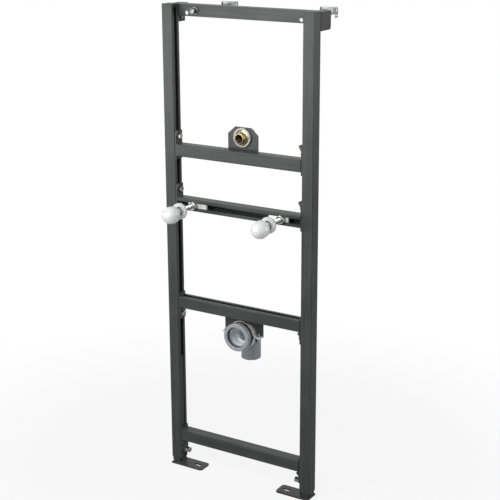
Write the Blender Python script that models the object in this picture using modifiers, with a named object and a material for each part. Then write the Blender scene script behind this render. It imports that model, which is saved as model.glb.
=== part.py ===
"""Installation frame that carries a wall-hung urinal inside a light partition.

Two upright C-channels on adjustable feet are joined by five rails. The rails carry the water
connection, the two hanging studs and the drain elbow; anchors at the top reach back to the wall.
All sizes are in metres. The model is built about the frame's centre line, with X to the right,
Y to the back and Z up, and then set so that the origin lies under the left upright.
"""

import math

import bmesh
import bpy
from mathutils import Matrix, Vector

# Overall
FRAME_WIDTH = 0.417
FRAME_HEIGHT = 1.200
SEAT_GAP = 0.0003
SHEET_EDGE = 0.0008
OVERCUT = 0.0100

# Channel that the uprights and rails are rolled from
CHANNEL_FACE = 0.030
CHANNEL_DEPTH = 0.030
CHANNEL_STEEL = 0.002
CHANNEL_SLOT = 0.0125
CHANNEL_BEND = 0.0022
TOP_RAIL_FACE = 0.028
TOP_RAIL_SLOT = 0.018

# Heights of the rails' undersides: the top one below the frame's top, the rest above the floor
TOP_RAIL_BELOW = 0.0296
SUPPLY_RAIL_Z = 0.8323
STUD_RAIL_Z = 0.6985
DRAIN_RAIL_Z = 0.4384
BOTTOM_RAIL_Z = 0.0679
SIGHT_HOLE_RADIUS = 0.0047
SIGHT_HOLE_INSET = 0.0518
SIGHT_HOLE_ABOVE = 0.0078

# Feet
UPRIGHT_FOOT_CLEARANCE = 0.0150
FOOT_PLATE_LENGTH = 0.0935
FOOT_PLATE_DEPTH = 0.0405
FOOT_PLATE_STEEL = 0.0045
FOOT_PLATE_OVERHANG = 0.0095
FOOT_CORNER = 0.0080
FOOT_SLOT_LENGTH = 0.0160
FOOT_SLOT_WIDTH = 0.0090
FOOT_SLOT_INSET = 0.0230
LEG_LENGTH = 0.300
LEG_STEEL = 0.0018

# Caps on the uprights
CAP_THICKNESS = 0.0020
CAP_PLUG_LENGTH = 0.0080

# Folded brackets at the ends of the rails
BRACKET_STEEL = 0.0030
BRACKET_WIDTH = 0.0270
BRACKET_REACH = 0.0330
BRACKET_TAIL = 0.0080
BRACKET_LIP = 0.0090
BRACKET_BEND = 0.0032
BRACKET_BOLT_HOLE = 0.0045
BRACKET_BOLT_OFFSET = 0.0180

# Brackets behind the tops of the uprights
WALL_BRACKET_STEEL = 0.0025
WALL_BRACKET_WIDTH = 0.0250
WALL_BRACKET_HEIGHT = 0.0430
WALL_BRACKET_REACH = 0.0465
WALL_BRACKET_INNER_REACH = 0.0320
WALL_BRACKET_CORNER = 0.0060
WALL_BRACKET_HOLE = 0.0042
WALL_BRACKET_HOLE_BACK = 0.0160
WALL_BRACKET_HOLE_ABOVE = 0.0105

# Anchors that reach from the top rail to the wall
ANCHOR_WIDTH = 0.0470
ANCHOR_STEEL = 0.0025
ANCHOR_INSET = 0.0690
ANCHOR_WALL_Y = 0.1975
ANCHOR_BELOW = 0.0082
ANCHOR_BEND = 0.0040
ANCHOR_GUSSET = 0.0180
ANCHOR_GUSSET_ROUND = 0.0060
ANCHOR_LIP = 0.0130
ANCHOR_FLANGE = 0.0230
ANCHOR_FLANGE_FOOT = 0.0038
ANCHOR_SLOT_LENGTH = 0.0200
ANCHOR_SLOT_WIDTH = 0.0085

# Water connection
SUPPLY_PLATE_WIDTH = 0.0840
SUPPLY_PLATE_ABOVE = 0.0540
SUPPLY_PLATE_CHAMFER = 0.0200
SUPPLY_PLATE_CHAMFER_HEIGHT = 0.0175
SUPPLY_AXIS_ABOVE = 0.0295
PLATE_STEEL = 0.0030
PLATE_INSET = 0.0020
NOZZLE_RADIUS = 0.0128
NOZZLE_BORE = 0.0100
NOZZLE_FRONT_Y = 0.0115
NOZZLE_FLANGE_RADIUS = 0.0192
NOZZLE_FLANGE_THICKNESS = 0.0030
NOZZLE_BACK_REACH = 0.0120
NOZZLE_EDGE = 0.0009
SUPPLY_RING_RADIUS = 0.0236
SUPPLY_RING_FRONT_Y = 0.0235
SUPPLY_RING_EDGE = 0.0013
ELBOW_RADIUS = 0.0140
ELBOW_TAIL = 0.0300
ELBOW_BORE = 0.0090
ELBOW_OVERLAP = 0.0015

# Hanging studs
STUD_INSET = 0.0835
STUD_RADIUS = 0.0060
STUD_FRONT_Y = -0.1000
STUD_EDGE = 0.0008
STUD_NUT_WIDTH = 0.0190
STUD_NUT_HEIGHT = 0.0100
SLIDE_NUT_THICKNESS = 0.0070
SLIDE_NUT_INWARD = 0.0360
SLIDE_NUT_OUTWARD = 0.0170
SLIDE_NUT_CLEARANCE = 0.0010
COLLAR_RADIUS = 0.0200
COLLAR_BACK_Y = -0.0480
COLLAR_FRONT_Y = -0.0655
COLLAR_NECK_RADIUS = 0.0125
COLLAR_NECK_LENGTH = 0.0050
COLLAR_EDGE = 0.0020
COLLAR_RECESS_RADIUS = 0.0110
COLLAR_RECESS_DEPTH = 0.0060
DOME_NECK_RADIUS = 0.0085
DOME_NECK_FRONT_Y = -0.0705
DOME_SHOULDER_RADIUS = 0.0205
DOME_SHOULDER_Y = -0.0865
DOME_RADIUS = 0.0236
DOME_FLARE_Y = -0.0960
DOME_FRONT_Y = -0.1220

# Drain
DRAIN_AXIS_BELOW = 0.0454
DRAIN_PLATE_WIDTH = 0.1110
DRAIN_PLATE_SIDE = 0.0471
DRAIN_PLATE_CHAMFER = 0.0370
DRAIN_PLATE_CHAMFER_HEIGHT = 0.0296
DRAIN_PIPE_RADIUS = 0.0250
DRAIN_PIPE_WALL = 0.0020
DRAIN_BELL_RADIUS = 0.0310
DRAIN_BELL_BACK_Y = 0.0380
DRAIN_BELL_TAPER = 0.0060
DRAIN_SPIGOT_Y = 0.0640
DRAIN_BEND_RADIUS = 0.0300
DRAIN_SPIGOT_DROP = 0.0745
DRAIN_MOUTH_Y = -0.0080
DRAIN_NUT_RADIUS = 0.0360
DRAIN_NUT_LENGTH = 0.0140
DRAIN_NUT_BORE = 0.0262
DRAIN_NUT_EDGE = 0.0025
DRAIN_NUT_LEAD_IN = 0.0010
DRAIN_SEAL_WIDTH = 0.0030
DRAIN_SEAL_INSET = 0.0030
DRAIN_SEAL_LIP = 0.0012
CLAMP_WIDTH = 0.0135
CLAMP_STEEL = 0.0016
CLAMP_LINING = 0.0030
CLAMP_LINING_PROUD = 0.0080
CLAMP_EAR_LENGTH = 0.0200
CLAMP_EAR_STEEL = 0.0030

ROUND_STEPS = 28
SMALL_ROUND_STEPS = 16
BAND_STEPS = 40

# Places that follow from the sizes
TOP_RAIL_Z = FRAME_HEIGHT - TOP_RAIL_BELOW
TOP_RAIL_TOP_Z = TOP_RAIL_Z + TOP_RAIL_FACE
ANCHOR_TOP_Z = TOP_RAIL_TOP_Z - ANCHOR_BELOW
ANCHOR_X = FRAME_WIDTH / 2 - ANCHOR_INSET
SIGHT_HOLE_X = FRAME_WIDTH / 2 - SIGHT_HOLE_INSET
STUD_X = FRAME_WIDTH / 2 - STUD_INSET
UPRIGHT_INNER_X = FRAME_WIDTH / 2 - CHANNEL_FACE
UPRIGHT_CENTRE_X = FRAME_WIDTH / 2 - CHANNEL_FACE / 2
UPRIGHT_TOP_Z = FRAME_HEIGHT - CAP_THICKNESS - SEAT_GAP
BRACKET_X = UPRIGHT_INNER_X - SEAT_GAP - BRACKET_STEEL
RAIL_HALF_LENGTH = BRACKET_X - SEAT_GAP
RAIL_BACK_Y = CHANNEL_DEPTH
STUD_Z = STUD_RAIL_Z + CHANNEL_FACE / 2
SUPPLY_RAIL_TOP_Z = SUPPLY_RAIL_Z + CHANNEL_FACE
SUPPLY_Z = SUPPLY_RAIL_TOP_Z + SUPPLY_AXIS_ABOVE
DRAIN_Z = DRAIN_RAIL_Z - DRAIN_AXIS_BELOW
PLATE_FRONT_Y = RAIL_BACK_Y + SEAT_GAP
CLAMP_BACK_Y = PLATE_FRONT_Y - SEAT_GAP
CLAMP_FRONT_Y = CLAMP_BACK_Y - CLAMP_WIDTH

MATERIALS = {
    "dark_steel": ((0.060, 0.064, 0.062), 0.45, 0.35),
    "black_plastic": ((0.020, 0.021, 0.021), 0.55, 0.0),
    "zinc": ((0.62, 0.63, 0.62), 0.32, 1.0),
    "white_plastic": ((0.86, 0.87, 0.87), 0.35, 0.0),
    "grey_plastic": ((0.33, 0.36, 0.39), 0.42, 0.0),
    "brass": ((0.72, 0.55, 0.27), 0.28, 1.0),
    "black_rubber": ((0.015, 0.015, 0.016), 0.70, 0.0),
}

X_AXIS = Vector((1, 0, 0))
Y_AXIS = Vector((0, 1, 0))
Z_AXIS = Vector((0, 0, 1))


def clear_scene():
    """Remove what the scene holds."""
    for obj in list(bpy.data.objects):
        bpy.data.objects.remove(obj, do_unlink=True)


def make_collection(name):
    """Add a collection under the scene."""
    collection = bpy.data.collections.new(name)
    bpy.context.scene.collection.children.link(collection)
    return collection


def make_material(name):
    """A plain surface with the finish's colour, roughness and metallic value."""
    colour, roughness, metallic = MATERIALS[name]
    material = bpy.data.materials.new(name)
    material.use_nodes = True
    shader = material.node_tree.nodes["Principled BSDF"]
    shader.inputs["Base Color"].default_value = (*colour, 1.0)
    shader.inputs["Roughness"].default_value = roughness
    shader.inputs["Metallic"].default_value = metallic
    return material


clear_scene()
PARTS = make_collection("urinal_installation_frame")
CUTTERS = make_collection("cutters")
FINISH = {name: make_material(name) for name in MATERIALS}

centre_line = bpy.data.objects.new("centre_line", None)
centre_line.location = (UPRIGHT_CENTRE_X, -CHANNEL_DEPTH / 2, 0)
PARTS.objects.link(centre_line)


def place(u_axis, v_axis, at):
    """Matrix that lays a flat outline's two directions along two axes of the frame."""
    w_axis = u_axis.cross(v_axis)
    rotation = Matrix((u_axis, v_axis, w_axis)).transposed().to_4x4()
    return Matrix.Translation(Vector(at)) @ rotation


def add_part(name, mesh, finish, matrix=Matrix()):
    """Put a mesh in the frame as a named piece."""
    obj = bpy.data.objects.new(name, mesh)
    mesh.name = name
    mesh.materials.clear()
    mesh.materials.append(FINISH[finish])
    PARTS.objects.link(obj)
    obj.parent = centre_line
    obj.matrix_local = matrix
    return obj


def add_cutter(name, mesh, matrix=Matrix()):
    """Put a mesh among the cutters."""
    obj = bpy.data.objects.new(name, mesh)
    CUTTERS.objects.link(obj)
    obj.parent = centre_line
    obj.matrix_local = matrix
    obj.hide_render = True
    obj.display_type = "WIRE"
    return obj


def boolean(obj, other, operation):
    """Cut a piece by a cutter, or join the cutter to it."""
    modifier = obj.modifiers.new(f"{operation.lower()}_{other.name}", "BOOLEAN")
    modifier.operation = operation
    modifier.object = other
    modifier.solver = "EXACT"


def rounded(corners, steps=3):
    """Outline from corners given as (u, v, radius), with an arc at each that has a radius."""
    points = []
    count = len(corners)
    for index, (u, v, radius) in enumerate(corners):
        here = Vector((u, v))
        if radius <= 0:
            points.append(here)
            continue
        before = (Vector(corners[index - 1][:2]) - here).normalized()
        after = (Vector(corners[(index + 1) % count][:2]) - here).normalized()
        half_angle = before.angle(after) / 2
        setback = radius / math.tan(half_angle)
        centre = here + (before + after).normalized() * radius / math.sin(half_angle)
        start = here + before * setback - centre
        turn = start.angle_signed(here + after * setback - centre)
        for step in range(steps + 1):
            arm = start.copy()
            arm.rotate(Matrix.Rotation(-turn * step / steps, 2))
            points.append(centre + arm)
    return points


def circle(radius, u=0.0, v=0.0, steps=ROUND_STEPS):
    """Points round a circle."""
    turns = [2 * math.pi * step / steps for step in range(steps)]
    return [Vector((u + radius * math.cos(a), v + radius * math.sin(a))) for a in turns]


def block_outline(low_u, high_u, low_v, high_v):
    """Rectangle by its four sides."""
    return [Vector((low_u, low_v)), Vector((high_u, low_v)),
            Vector((high_u, high_v)), Vector((low_u, high_v))]


def slot_outline(length, width, u=0.0, v=0.0, steps=8):
    """A slot with round ends, long along u."""
    reach = (length - width) / 2
    points = []
    for side, start in ((1, -math.pi / 2), (-1, math.pi / 2)):
        for step in range(steps + 1):
            a = start + math.pi * step / steps
            points.append(Vector((u + side * reach + width / 2 * math.cos(a),
                                  v + width / 2 * math.sin(a))))
    return points


def flat_mesh(outlines, thickness):
    """Closed plate from a flat outline, with further outlines as holes in it."""
    curve = bpy.data.curves.new("outline", "CURVE")
    curve.dimensions = "2D"
    curve.fill_mode = "BOTH"
    curve.extrude = thickness / 2
    for outline in outlines:
        spline = curve.splines.new("POLY")
        spline.points.add(len(outline) - 1)
        for point, (u, v) in zip(spline.points, outline):
            point.co = (u, v, 0, 1)
        spline.use_cyclic_u = True
    return mesh_from_curve(curve)


def mesh_from_curve(curve):
    """Mesh of a curve, with its caps welded to its sides."""
    drawn = bpy.data.objects.new("drawn", curve)
    PARTS.objects.link(drawn)
    evaluated = drawn.evaluated_get(bpy.context.evaluated_depsgraph_get())
    mesh = bpy.data.meshes.new_from_object(evaluated)
    bpy.data.objects.remove(drawn)
    bm = bmesh.new()
    bm.from_mesh(mesh)
    bmesh.ops.remove_doubles(bm, verts=bm.verts, dist=0.000002)
    bmesh.ops.recalc_face_normals(bm, faces=bm.faces)
    bm.to_mesh(mesh)
    bm.free()
    return mesh


def turned(name, profile, finish, at, closed=True, steps=ROUND_STEPS):
    """Piece turned about the frame's Y axis from a profile of (radius, y) points.

    The profile runs along the outside from the back to the front. A closed one returns inside.
    """
    mesh = bpy.data.meshes.new(name)
    points = [(radius, 0, y) for radius, y in profile]
    edges = [(i, i + 1) for i in range(len(points) - 1)]
    if closed:
        edges.append((len(points) - 1, 0))
    mesh.from_pydata(points, edges, [])
    spin = place(Z_AXIS, X_AXIS, at)
    obj = add_part(name, mesh, finish, spin)
    screw = obj.modifiers.new("turned", "SCREW")
    screw.axis = "Z"
    screw.steps = steps
    screw.render_steps = steps
    screw.use_merge_vertices = True
    screw.merge_threshold = 0.00001
    screw.use_smooth_shade = True
    return obj


def cylinder_mesh(radius, length, sides=ROUND_STEPS):
    """Closed cylinder along Z, centred on the origin."""
    mesh = bpy.data.meshes.new("cylinder")
    bm = bmesh.new()
    bmesh.ops.create_cone(bm, cap_ends=True, segments=sides, radius1=radius, radius2=radius,
                          depth=length)
    bm.to_mesh(mesh)
    bm.free()
    return mesh


def along_y(x, y, z):
    """Matrix that turns a piece's own Z to the frame's -Y at a place."""
    return place(X_AXIS, Z_AXIS, (x, y, z))


def along_x(x, y, z):
    """Matrix that turns a piece's own Z to the frame's X at a place."""
    return place(Y_AXIS, Z_AXIS, (x, y, z))


def channel_outline(face, depth, slot=CHANNEL_SLOT):
    """C-channel section: web at u = 0, slot at u = depth, face along v."""
    half = face / 2
    lip = slot / 2
    steel = CHANNEL_STEEL
    return rounded([
        (0, -half, CHANNEL_BEND),
        (depth, -half, CHANNEL_BEND),
        (depth, -lip, 0),
        (depth - steel, -lip, 0),
        (depth - steel, -half + steel, 0),
        (steel, -half + steel, 0),
        (steel, half - steel, 0),
        (depth - steel, half - steel, 0),
        (depth - steel, lip, 0),
        (depth, lip, 0),
        (depth, half, CHANNEL_BEND),
        (0, half, CHANNEL_BEND),
    ])


def upright(side, name):
    """Upright channel with its slot towards the opening."""
    length = UPRIGHT_TOP_Z - UPRIGHT_FOOT_CLEARANCE
    middle = (UPRIGHT_TOP_Z + UPRIGHT_FOOT_CLEARANCE) / 2
    mesh = flat_mesh([channel_outline(CHANNEL_DEPTH, CHANNEL_FACE)], length)
    outer_x = side * FRAME_WIDTH / 2
    matrix = place(-side * X_AXIS, -side * Y_AXIS, (outer_x, CHANNEL_DEPTH / 2, middle))
    return add_part(name, mesh, "dark_steel", matrix)


def upright_cap(side, name):
    """Plastic cap: a cover as wide as the channel, with a plug that stands inside it."""
    cover = flat_mesh([rounded([
        (-CHANNEL_FACE / 2, 0, CHANNEL_BEND),
        (CHANNEL_FACE / 2, 0, CHANNEL_BEND),
        (CHANNEL_FACE / 2, CHANNEL_DEPTH, CHANNEL_BEND),
        (-CHANNEL_FACE / 2, CHANNEL_DEPTH, CHANNEL_BEND),
    ])], CAP_THICKNESS)
    at = (side * UPRIGHT_CENTRE_X, 0, FRAME_HEIGHT - CAP_THICKNESS / 2)
    cap = add_part(name, cover, "black_plastic", Matrix.Translation(at))
    inset = CHANNEL_STEEL + SEAT_GAP
    plug_mesh = flat_mesh([block_outline(-CHANNEL_FACE / 2 + inset, CHANNEL_FACE / 2 - inset,
                                         inset, CHANNEL_DEPTH - inset)], CAP_PLUG_LENGTH)
    plug_z = FRAME_HEIGHT - CAP_THICKNESS / 2 - CAP_PLUG_LENGTH / 2
    plug = add_cutter(name + "_plug", plug_mesh, Matrix.Translation((at[0], 0, plug_z)))
    boolean(cap, plug, "UNION")
    return cap


def foot(side, name):
    """Foot plate with a bolt slot, and the leg tube that slides in the upright."""
    outer = FRAME_WIDTH / 2
    inner = outer - FOOT_PLATE_LENGTH
    front = -FOOT_PLATE_OVERHANG
    back = front + FOOT_PLATE_DEPTH
    corners = [(inner, front, FOOT_CORNER), (outer, front, SHEET_EDGE),
               (outer, back, SHEET_EDGE), (inner, back, FOOT_CORNER)]
    slot = slot_outline(FOOT_SLOT_LENGTH, FOOT_SLOT_WIDTH, inner + FOOT_SLOT_INSET,
                        (front + back) / 2)
    outlines = [rounded(corners), slot]
    if side < 0:
        outlines = [[Vector((-u, v)) for u, v in outline] for outline in outlines]
    plate = add_part(name, flat_mesh(outlines, FOOT_PLATE_STEEL), "dark_steel",
                     Matrix.Translation((0, 0, FOOT_PLATE_STEEL / 2)))
    half_u = CHANNEL_FACE / 2 - CHANNEL_STEEL - SEAT_GAP
    half_v = CHANNEL_DEPTH / 2 - CHANNEL_STEEL - SEAT_GAP
    bore_u = half_u - LEG_STEEL
    bore_v = half_v - LEG_STEEL
    tube = flat_mesh([block_outline(-half_u, half_u, -half_v, half_v),
                      block_outline(-bore_u, bore_u, -bore_v, bore_v)], LEG_LENGTH)
    leg_z = FOOT_PLATE_STEEL / 2 + LEG_LENGTH / 2
    leg = add_cutter(name + "_leg", tube, Matrix.Translation(
        (side * UPRIGHT_CENTRE_X, CHANNEL_DEPTH / 2, leg_z)))
    boolean(plate, leg, "UNION")
    return plate


def rail(name, bottom_z, opening):
    """Rail between the uprights, with its slot to the front, top or underside."""
    length = 2 * RAIL_HALF_LENGTH
    middle_y = CHANNEL_DEPTH / 2
    if opening == "front":
        outline = channel_outline(CHANNEL_FACE, CHANNEL_DEPTH)
        matrix = place(-Y_AXIS, Z_AXIS, (0, CHANNEL_DEPTH, bottom_z + CHANNEL_FACE / 2))
    else:
        outline = channel_outline(CHANNEL_DEPTH, CHANNEL_FACE)
        web_z = bottom_z if opening == "top" else bottom_z + CHANNEL_FACE
        up = Z_AXIS if opening == "top" else -Z_AXIS
        matrix = place(up, Y_AXIS, (0, middle_y, web_z))
    return add_part(name, flat_mesh([outline], length), "dark_steel", matrix)


def top_rail(name):
    """Rail behind the uprights, open to the underside, with a sight hole near each end."""
    half = UPRIGHT_CENTRE_X + CHANNEL_FACE / 2 - WALL_BRACKET_WIDTH - SEAT_GAP
    outline = channel_outline(CHANNEL_DEPTH, TOP_RAIL_FACE, TOP_RAIL_SLOT)
    front_y = CHANNEL_DEPTH + SEAT_GAP
    middle_y = front_y + CHANNEL_DEPTH / 2
    obj = add_part(name, flat_mesh([outline], 2 * half), "dark_steel",
                   place(-Z_AXIS, Y_AXIS, (0, middle_y, TOP_RAIL_TOP_Z)))
    for side in (-1, 1):
        drill = add_cutter(f"{name}_drill_{side}", cylinder_mesh(SIGHT_HOLE_RADIUS, OVERCUT),
                           along_y(side * SIGHT_HOLE_X, front_y, TOP_RAIL_Z + SIGHT_HOLE_ABOVE))
        boolean(obj, drill, "DIFFERENCE")
    return obj


def rail_bracket(side, name, rail_z, upwards):
    """Folded plate at a rail's end, bolted to the upright beyond the rail."""
    steel = BRACKET_STEEL
    height = CHANNEL_FACE + BRACKET_REACH + BRACKET_TAIL
    outline = rounded([
        (0, 0, SHEET_EDGE),
        (steel, 0, SHEET_EDGE),
        (steel, height - BRACKET_LIP - steel, BRACKET_BEND),
        (steel + BRACKET_LIP, height - steel, SHEET_EDGE),
        (steel + BRACKET_LIP, height, SHEET_EDGE),
        (0, height, BRACKET_BEND + steel),
    ])
    mesh = flat_mesh([outline], BRACKET_WIDTH)
    base_z = rail_z - BRACKET_TAIL if upwards else rail_z + CHANNEL_FACE + BRACKET_TAIL
    up = Z_AXIS if upwards else -Z_AXIS
    wall_x = side * (UPRIGHT_INNER_X - SEAT_GAP)
    obj = add_part(name, mesh, "dark_steel",
                   place(-side * X_AXIS, up, (wall_x, CHANNEL_DEPTH / 2, base_z)))
    bolt_u = BRACKET_TAIL + CHANNEL_FACE + BRACKET_BOLT_OFFSET
    bolt_z = base_z + bolt_u if upwards else base_z - bolt_u
    drill = add_cutter(name + "_drill", cylinder_mesh(BRACKET_BOLT_HOLE, OVERCUT, SMALL_ROUND_STEPS),
                       along_x(wall_x, CHANNEL_DEPTH / 2, bolt_z))
    boolean(obj, drill, "DIFFERENCE")
    return obj


def wall_bracket(side, name):
    """Channel bracket behind an upright: outer cheek, inner cheek, front web and top web."""
    steel = WALL_BRACKET_STEEL
    width = WALL_BRACKET_WIDTH
    reach = WALL_BRACKET_REACH
    height = WALL_BRACKET_HEIGHT
    front = CHANNEL_DEPTH + SEAT_GAP
    low_z = TOP_RAIL_TOP_Z - height
    outer_x = side * FRAME_WIDTH / 2
    inner_x = outer_x - side * width
    middle = place(Y_AXIS, Z_AXIS, (outer_x - side * width / 2, front, low_z))
    cheek = rounded([(0, 0, SHEET_EDGE), (reach, 0, WALL_BRACKET_CORNER),
                     (reach, height, CHANNEL_BEND), (0, height, SHEET_EDGE)])
    obj = add_part(name, flat_mesh([cheek], width), "dark_steel", middle)
    hollow = block_outline(steel, reach + OVERCUT, -OVERCUT, height - steel)
    inside = add_cutter(name + "_hollow", flat_mesh([hollow], width - 2 * steel), middle)
    boolean(obj, inside, "DIFFERENCE")
    short = block_outline(WALL_BRACKET_INNER_REACH, reach + OVERCUT, -OVERCUT, height - steel)
    cut_back = add_cutter(name + "_cut_back", flat_mesh([short], 2 * steel),
                          place(Y_AXIS, Z_AXIS, (inner_x, front, low_z)))
    boolean(obj, cut_back, "DIFFERENCE")
    drill = add_cutter(name + "_drill",
                       cylinder_mesh(WALL_BRACKET_HOLE, OVERCUT, SMALL_ROUND_STEPS),
                       along_x(inner_x, front + WALL_BRACKET_HOLE_BACK,
                               low_z + WALL_BRACKET_HOLE_ABOVE))
    boolean(obj, drill, "DIFFERENCE")
    return obj


def wall_anchor(side, name):
    """Pressed strap from the back of the top rail to the wall, with a slotted wall flange.

    Its sides are folded down as lips, which run out into the flange as gussets.
    """
    steel = ANCHOR_STEEL
    start = 2 * CHANNEL_DEPTH + 2 * SEAT_GAP
    length = ANCHOR_WALL_Y - start
    at = (side * ANCHOR_X, start, ANCHOR_TOP_Z)
    profile = rounded([
        (0, -ANCHOR_LIP, SHEET_EDGE),
        (length - ANCHOR_GUSSET, -ANCHOR_LIP, ANCHOR_GUSSET_ROUND),
        (length - ANCHOR_FLANGE_FOOT, -ANCHOR_FLANGE, SHEET_EDGE),
        (length, -ANCHOR_FLANGE, SHEET_EDGE),
        (length, 0, ANCHOR_BEND), (0, 0, ANCHOR_BEND),
    ])
    obj = add_part(name, flat_mesh([profile], ANCHOR_WIDTH), "zinc",
                   place(Y_AXIS, Z_AXIS, at))
    below = -ANCHOR_FLANGE - OVERCUT
    hollow = flat_mesh([rounded([
        (steel, below, 0), (length - steel, below, 0),
        (length - steel, -steel, ANCHOR_BEND - steel / 2), (steel, -steel, ANCHOR_BEND - steel / 2),
    ])], ANCHOR_WIDTH - 2 * steel)
    boolean(obj, add_cutter(name + "_hollow", hollow, place(Y_AXIS, Z_AXIS, at)), "DIFFERENCE")
    wall_slot = flat_mesh([slot_outline(ANCHOR_SLOT_LENGTH, ANCHOR_SLOT_WIDTH)], OVERCUT)
    slot_z = ANCHOR_TOP_Z - (ANCHOR_BEND + ANCHOR_FLANGE) / 2
    cut = add_cutter(name + "_slot", wall_slot, along_y(side * ANCHOR_X, ANCHOR_WALL_Y, slot_z))
    boolean(obj, cut, "DIFFERENCE")
    return obj


def supply_plate(name):
    """Plate behind the supply rail with chamfered corners and a round seat for the fitting."""
    half = SUPPLY_PLATE_WIDTH / 2
    chamfer = SUPPLY_PLATE_CHAMFER
    low = SUPPLY_RAIL_Z + PLATE_INSET
    high = SUPPLY_RAIL_TOP_Z + SUPPLY_PLATE_ABOVE
    side = high - SUPPLY_PLATE_CHAMFER_HEIGHT
    outline = [Vector(point) for point in (
        (-half, low), (half, low), (half, side), (half - chamfer, high),
        (-half + chamfer, high), (-half, side))]
    hole = circle(NOZZLE_RADIUS + SEAT_GAP, 0, SUPPLY_Z)
    mesh = flat_mesh([outline, hole], PLATE_STEEL)
    obj = add_part(name, mesh, "dark_steel",
                   place(X_AXIS, Z_AXIS, (0, PLATE_FRONT_Y + PLATE_STEEL / 2, 0)))
    return obj


def supply_ring(name):
    """White plastic ring on the front of the supply plate, round the fitting's flange."""
    back = PLATE_FRONT_Y - SEAT_GAP
    front = SUPPLY_RING_FRONT_Y
    outer = SUPPLY_RING_RADIUS
    inner = NOZZLE_FLANGE_RADIUS + SEAT_GAP
    edge = SUPPLY_RING_EDGE
    profile = [
        (outer, back), (outer, front + edge), (outer - edge, front),
        (inner + edge, front), (inner, front + edge), (inner, back),
    ]
    return turned(name, profile, "white_plastic", (0, 0, SUPPLY_Z))


def supply_nozzle(name):
    """Brass socket through the plate, with a pipe tail that leaves downwards behind it."""
    back = PLATE_FRONT_Y + PLATE_STEEL + NOZZLE_BACK_REACH
    flange = PLATE_FRONT_Y - SEAT_GAP
    profile = [
        (NOZZLE_RADIUS, back), (NOZZLE_RADIUS, flange), (NOZZLE_FLANGE_RADIUS, flange),
        (NOZZLE_FLANGE_RADIUS, flange - NOZZLE_FLANGE_THICKNESS),
        (NOZZLE_RADIUS, flange - NOZZLE_FLANGE_THICKNESS),
        (NOZZLE_RADIUS, NOZZLE_FRONT_Y + NOZZLE_EDGE),
        (NOZZLE_RADIUS - NOZZLE_EDGE, NOZZLE_FRONT_Y), (NOZZLE_BORE + NOZZLE_EDGE, NOZZLE_FRONT_Y),
        (NOZZLE_BORE, NOZZLE_FRONT_Y + NOZZLE_EDGE), (NOZZLE_BORE, back),
    ]
    obj = turned(name, profile, "brass", (0, 0, SUPPLY_Z))
    body_y = back + ELBOW_RADIUS - ELBOW_OVERLAP
    body = add_cutter(name + "_body", cylinder_mesh(ELBOW_RADIUS, 2 * ELBOW_RADIUS + ELBOW_TAIL),
                      Matrix.Translation((0, body_y, SUPPLY_Z - ELBOW_TAIL / 2)))
    boolean(obj, body, "UNION")
    bore = add_cutter(name + "_tail_bore",
                      cylinder_mesh(ELBOW_BORE, ELBOW_RADIUS + ELBOW_TAIL + OVERCUT),
                      Matrix.Translation((0, body_y, SUPPLY_Z - ELBOW_TAIL / 2 - OVERCUT)))
    boolean(obj, bore, "DIFFERENCE")
    depth = body_y - NOZZLE_FRONT_Y + OVERCUT
    front_bore = add_cutter(name + "_front_bore", cylinder_mesh(NOZZLE_BORE, depth),
                            along_y(0, body_y - depth / 2, SUPPLY_Z))
    boolean(obj, front_bore, "DIFFERENCE")
    return obj


def hexagon(width, u=0.0, v=0.0):
    """Hexagon by its width across the flats."""
    radius = width / 2 / math.cos(math.pi / 6)
    return circle(radius, u, v, 6)


def stud(side, name):
    """Threaded rod that stands out of the stud rail."""
    back = CHANNEL_DEPTH - CHANNEL_STEEL - SEAT_GAP
    front = STUD_FRONT_Y
    tip = STUD_RADIUS - STUD_EDGE
    profile = [(0, back), (tip, back), (STUD_RADIUS, back - STUD_EDGE),
               (STUD_RADIUS, front + STUD_EDGE), (tip, front), (0, front)]
    return turned(name, profile, "zinc", (side * STUD_X, 0, STUD_Z), closed=False,
                  steps=SMALL_ROUND_STEPS)


def stud_bore():
    """Hole that the stud passes through."""
    return circle(STUD_RADIUS + SEAT_GAP, steps=SMALL_ROUND_STEPS)


def stud_nut(side, name):
    """Hexagon nut, tight on the lips of the rail."""
    mesh = flat_mesh([hexagon(STUD_NUT_WIDTH), stud_bore()], STUD_NUT_HEIGHT)
    middle_y = -SEAT_GAP - STUD_NUT_HEIGHT / 2
    return add_part(name, mesh, "zinc", along_y(side * STUD_X, middle_y, STUD_Z))


def slide_nut(side, name):
    """Plate nut inside the rail, behind the lips, that the stud is screwed into."""
    half_v = CHANNEL_FACE / 2 - CHANNEL_STEEL - SLIDE_NUT_CLEARANCE
    low_u, high_u = sorted((-side * SLIDE_NUT_INWARD, side * SLIDE_NUT_OUTWARD))
    outline = rounded([(low_u, -half_v, CHANNEL_BEND), (high_u, -half_v, CHANNEL_BEND),
                       (high_u, half_v, CHANNEL_BEND), (low_u, half_v, CHANNEL_BEND)])
    mesh = flat_mesh([outline, stud_bore()], SLIDE_NUT_THICKNESS)
    middle_y = CHANNEL_STEEL + SEAT_GAP + SLIDE_NUT_THICKNESS / 2
    return add_part(name, mesh, "zinc", along_y(side * STUD_X, middle_y, STUD_Z))


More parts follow.
